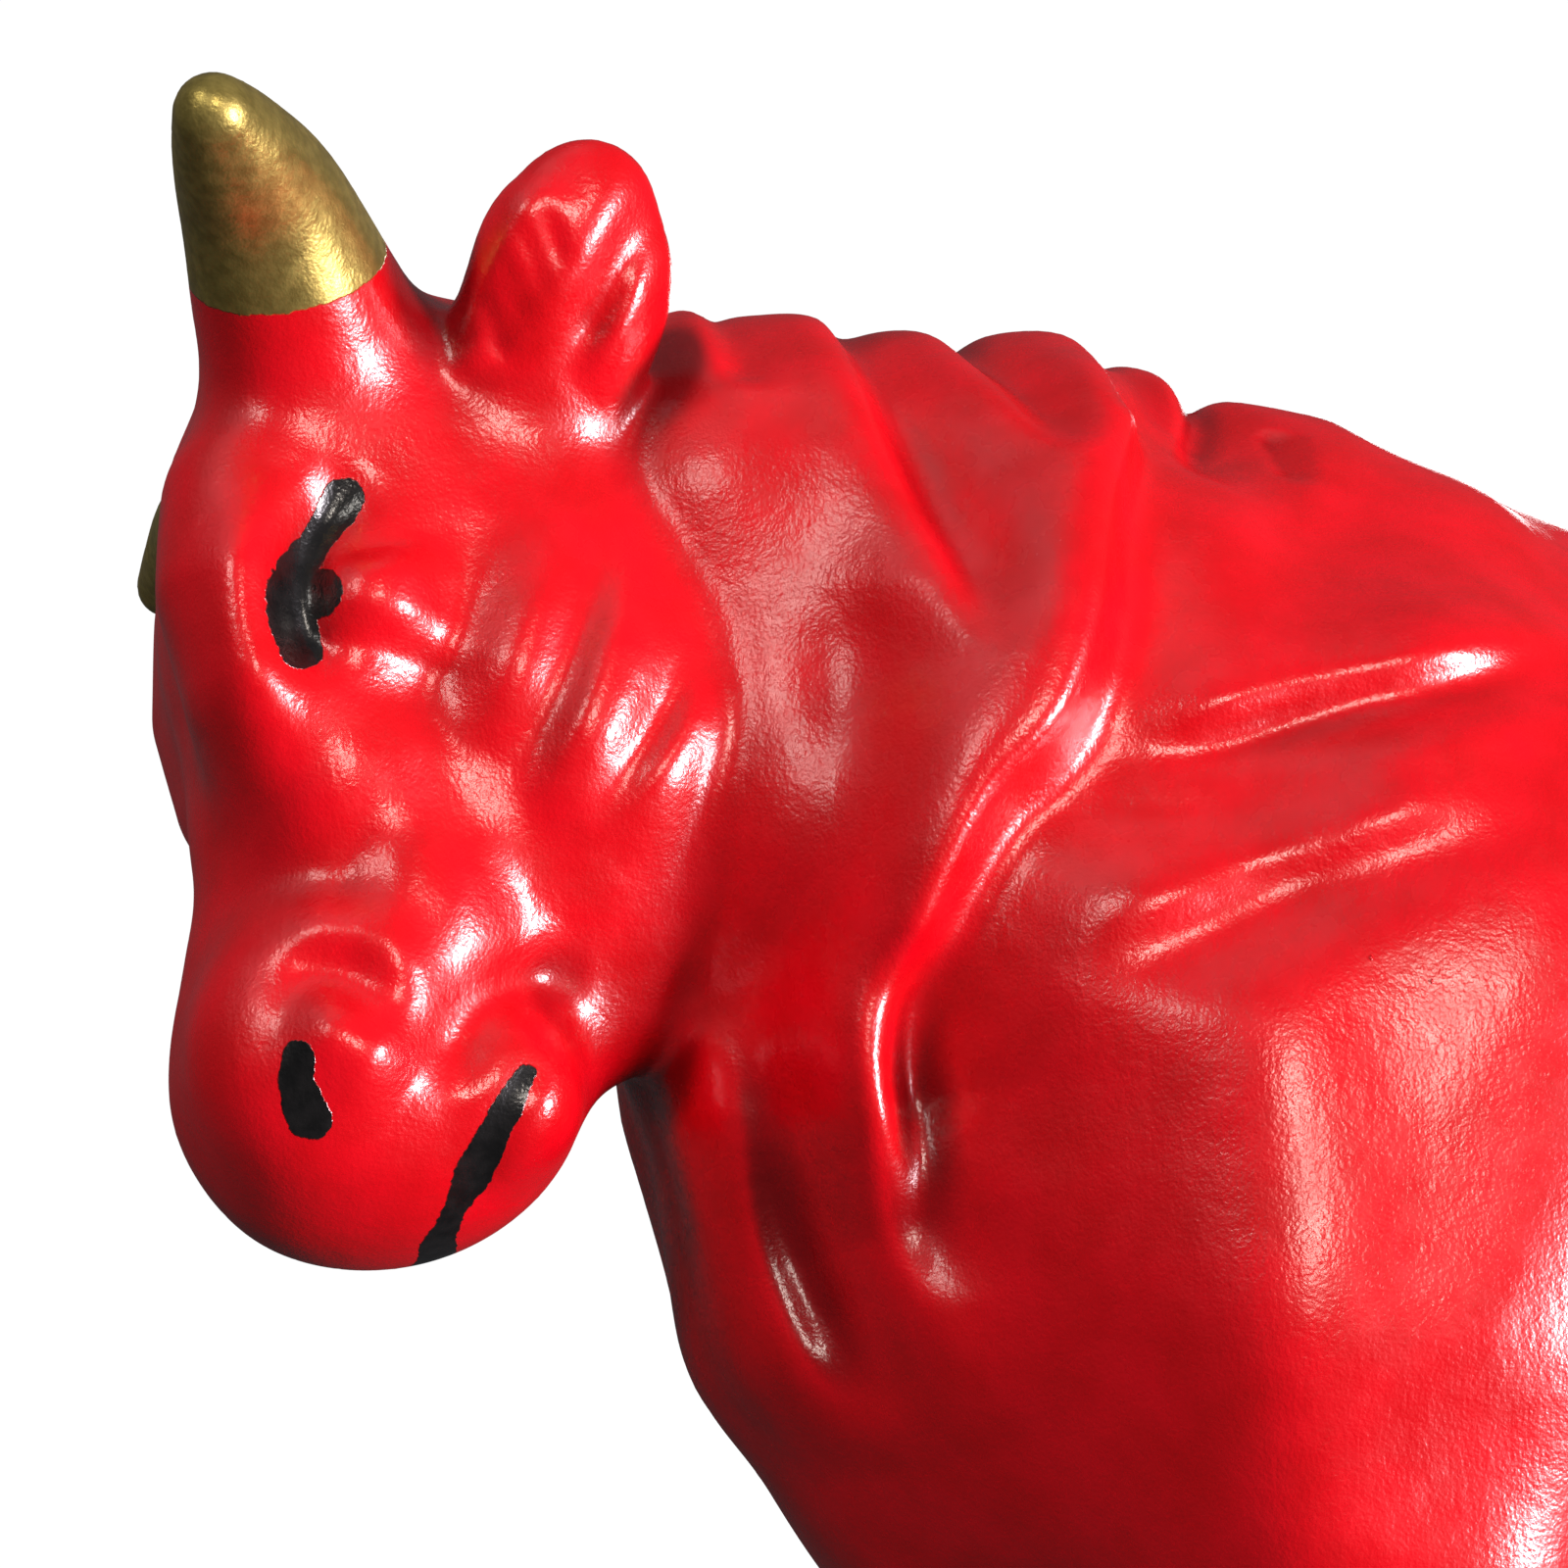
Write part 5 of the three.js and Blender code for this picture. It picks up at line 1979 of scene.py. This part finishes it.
    def build(self, figurine: Figurine) -> bpy.types.Object:
        """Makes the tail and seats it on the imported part.

        Args:
            figurine: The figure that it belongs to.

        Returns:
            The tail.
        """
        path = self.path(figurine.bull.trunk, figurine.place)
        sizes = {
            "Strands": float(self.strands), "Strand Depth": self.strand_depth * MM, "Twist": self.twist,
            "Tuft Start": self.tuft_start, "Sides": self.sides,
        }
        piece = baked(path, "painted_tail", self.tree(figurine.body_finish), sizes)
        figurine.paint_over(piece.data)
        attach(piece, "root")
        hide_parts("tail")
        return piece


@dataclass(frozen=True)
class Nibs:
    """Specks of dust under the paint, scattered over the skin."""

    density: float = 500.0  # specks in a square metre
    radius: float = 0.22
    smallest: Point = (0.5, 0.5, 0.25)  # shares of that radius
    largest: Point = (1.5, 1.3, 0.6)
    lowest: float = 2.0  # the height above which they are scattered
    seed: int = 5

    def tree(self, finish: bpy.types.Material) -> bpy.types.NodeTree:
        """Scatters small flattened beads over a surface.

        Args:
            finish: The beads' material.

        Returns:
            The tree.
        """
        tree, bench, given = geometry_tree("scattered_nibs", ("Density", "Radius"), ("Seed",))
        scattered = {"Mesh": given["Geometry"], "Density": given["Density"], "Seed": given["Seed"]}
        spots = bench.node(
            "GeometryNodeDistributePointsOnFaces", {"distribute_method": "RANDOM"}, scattered
        )
        bead = bench.signal("GeometryNodeMeshUVSphere", {}, {
            "Segments": 8, "Rings": 5, "Radius": given["Radius"],
        }, "Mesh")
        size = bench.signal("FunctionNodeRandomValue", {"data_type": "FLOAT_VECTOR"}, {
            0: self.smallest, 1: self.largest, "Seed": given["Seed"],
        }, "Value")
        placed = bench.signal("GeometryNodeInstanceOnPoints", {}, {
            "Points": Signal(bench, spots.outputs["Points"]), "Instance": bead,
            "Rotation": Signal(bench, spots.outputs["Rotation"]), "Scale": size,
        }, "Instances")
        painted(bench, placed, finish)
        return tree

    def build(self, figurine: Figurine) -> bpy.types.Object:
        """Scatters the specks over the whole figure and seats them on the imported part.

        Args:
            figurine: The figure.

        Returns:
            The specks, as one piece.
        """
        skin = figurine.rough_cast("whole_skin", (-FAR, -FAR, self.lowest), (FAR, FAR, FAR))
        skin.data.transform(figurine.place)
        sizes = {"Density": self.density, "Radius": self.radius * MM, "Seed": self.seed}
        piece = baked(skin, "paint_nibs", self.tree(figurine.body_finish), sizes)
        figurine.paint_over(piece.data)
        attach(piece, "root")
        return piece


@dataclass(frozen=True)
class Softbox:
    """A square studio light, by the direction it shines from, in degrees round from the tail and up."""

    name: str
    azimuth: float
    elevation: float
    size: tuple[float, float]
    power: float
    colour: Point = (1.0, 1.0, 1.0)
    gleams: bool = True  # whether it shows in the gloss, or only fills the shadows
    distance: float = 0.9

    def build(self, aim: Vector) -> None:
        """Hangs the light.

        Args:
            aim: The point that it faces.
        """
        lamp = bpy.data.lights.new(self.name, "AREA")
        lamp.shape = "RECTANGLE"
        lamp.size, lamp.size_y = self.size
        lamp.energy = self.power
        lamp.color = self.colour
        a, e = math.radians(self.azimuth), math.radians(self.elevation)
        away = Vector((math.cos(a) * math.cos(e), math.sin(a) * math.cos(e), math.sin(e)))
        holder = linked(self.name, lamp)
        holder.location = aim + self.distance * away
        holder.rotation_euler = away.to_track_quat("Z", "Y").to_euler()
        holder.visible_glossy = self.gleams


@dataclass(frozen=True)
class Studio:
    """The pale sweep in metres, the lights, and the camera in the figure's millimetres."""

    azimuth: float = -15.0
    elevation: float = -8.0
    distance: float = 196.0
    field_of_view: float = 34.0
    aim: Point = (-67.6, -8.3, 120.3)
    sweep_colour: Point = (0.12, 0.12, 0.12)
    floor_radius: float = 1.2
    curve_radius: float = 1.0
    backdrop_top: float = 2.6
    sides: int = 64
    air_low: float = 0.05  # the strength of the room's light from below
    air_rise: float = 0.06  # how much stronger it is overhead
    lit: Point = (-0.06, 0.0, 0.02)  # where the lights face, from the part's middle
    lights: Sequence[Softbox] = (
        Softbox("window", 317.0, -6.0, (0.24, 0.28), 10.5, (1.0, 0.92, 0.98)),
        Softbox("lamp", 270.0, 12.0, (0.13, 0.17), 1.8, (1.0, 0.90, 0.80)),
        Softbox("front_left", 226.0, 26.0, (0.16, 0.18), 1.0, (1.0, 0.95, 0.88)),
        Softbox("table", 330.0, -18.0, (0.60, 0.40), 0.5, gleams=False),
        Softbox("wall", 205.0, 45.0, (0.50, 0.50), 1.7, gleams=False),
        Softbox("ceiling", 240.0, 72.0, (0.40, 0.40), 1.1, gleams=False),
        Softbox("far_side", 60.0, 14.0, (0.35, 0.30), 2.4),
    )

    def sweep(self) -> None:
        """Lays a floor that curves up into a backdrop all round."""
        flat, curve, sides = self.floor_radius, self.curve_radius, self.sides
        rings = [(0.0, 0.0), (flat / 2, 0.0), (flat, 0.0)]
        for angle in np.linspace(0.15, math.pi / 2, 12):
            rings.append((flat + curve * math.sin(angle), curve - curve * math.cos(angle)))
        rings.append((flat + curve, self.backdrop_top))
        spots = [(0.0, 0.0, 0.0)]
        for radius, height in rings[1:]:
            spots += [(radius * x, radius * y, height) for x, y in around(sides)]
        faces: list[tuple[int, ...]] = [(0, 1 + n, 1 + (n + 1) % sides) for n in range(sides)]
        for ring in range(len(rings) - 2):
            a, b = 1 + ring * sides, 1 + (ring + 1) * sides
            faces += [(a + n, b + n, b + (n + 1) % sides, a + (n + 1) % sides) for n in range(sides)]
        floor = mesh_object("sweep", np.array(spots), faces)
        made = bpy.data.materials.new("pale_sweep")
        made.use_nodes = True
        bench = Bench(made.node_tree)
        shader = bench.signal("ShaderNodeBsdfPrincipled", {}, {
            "Base Color": (*self.sweep_colour, 1.0), "Roughness": 0.9, "Specular IOR Level": 0.1,
            "Emission Color": (1.0, 1.0, 1.0, 1.0), "Emission Strength": 1.0,
        }, "BSDF")
        bench.node("ShaderNodeOutputMaterial", {}, {"Surface": shader})
        floor.data.materials.append(made)
        floor.visible_glossy = floor.visible_diffuse = floor.visible_shadow = False

    def air(self) -> None:
        """Sets the room's own dim light, brighter overhead than below."""
        world = bpy.data.worlds.new("room")
        world.use_nodes = True
        bench = Bench(world.node_tree)
        way = bench.signal("ShaderNodeTexCoord", {}, {}, "Generated")
        height = bench.step(bench.signal("ShaderNodeSeparateXYZ", {}, {0: way}, "Z"), -0.3, 0.9)
        light = bench.signal("ShaderNodeBackground", {}, {
            "Color": (0.92, 0.94, 1.0, 1.0), "Strength": self.air_low + self.air_rise * height,
        }, "Background")
        bench.node("ShaderNodeOutputWorld", {}, {"Surface": light})
        bpy.context.scene.world = world

    def camera(self, place: Matrix) -> None:
        """Puts the camera where the photograph was taken from.

        Args:
            place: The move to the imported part's metres.
        """
        right, up, back = sight(self.azimuth, self.elevation)
        eye = bpy.data.cameras.new("photo_camera")
        eye.angle = math.radians(self.field_of_view)
        eye.clip_start = 0.01
        holder = linked("photo_camera", eye)
        turned = Matrix((right, up, back)).transposed().to_4x4()
        spot = place @ Vector(np.array(self.aim) + self.distance * back)
        holder.matrix_world = Matrix.Translation(spot) @ turned
        bpy.context.scene.camera = holder

    def build(self, place: Matrix) -> None:
        """Sets up the whole studio.

        Args:
            place: The move from the figure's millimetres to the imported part's metres.
        """
        self.sweep()
        self.air()
        low, high = cad_box
        for light in self.lights:
            light.build((Vector(low) + Vector(high)) / 2 + Vector(self.lit))
        self.camera(place)
        bpy.context.scene.view_settings.view_transform = "Standard"


def main() -> None:
    """Builds the figurine and its studio, and logs how many faces each piece has."""
    logging.basicConfig(level=logging.INFO, format="%(name)s: %(message)s")
    bull = Bull()
    figurine = Figurine(bull)
    knife = Knife(bull)
    for node, piece in figurine.members(knife).items():
        figurine.dress(node, piece)
    knife.put_away()
    for extra in [maker.build(figurine) for maker in (Tail(), Nibs())]:
        log.info("%s: %d faces", extra.name, len(extra.data.polygons))
    Studio().build(figurine.place)


if __name__ == "__main__":
    main()
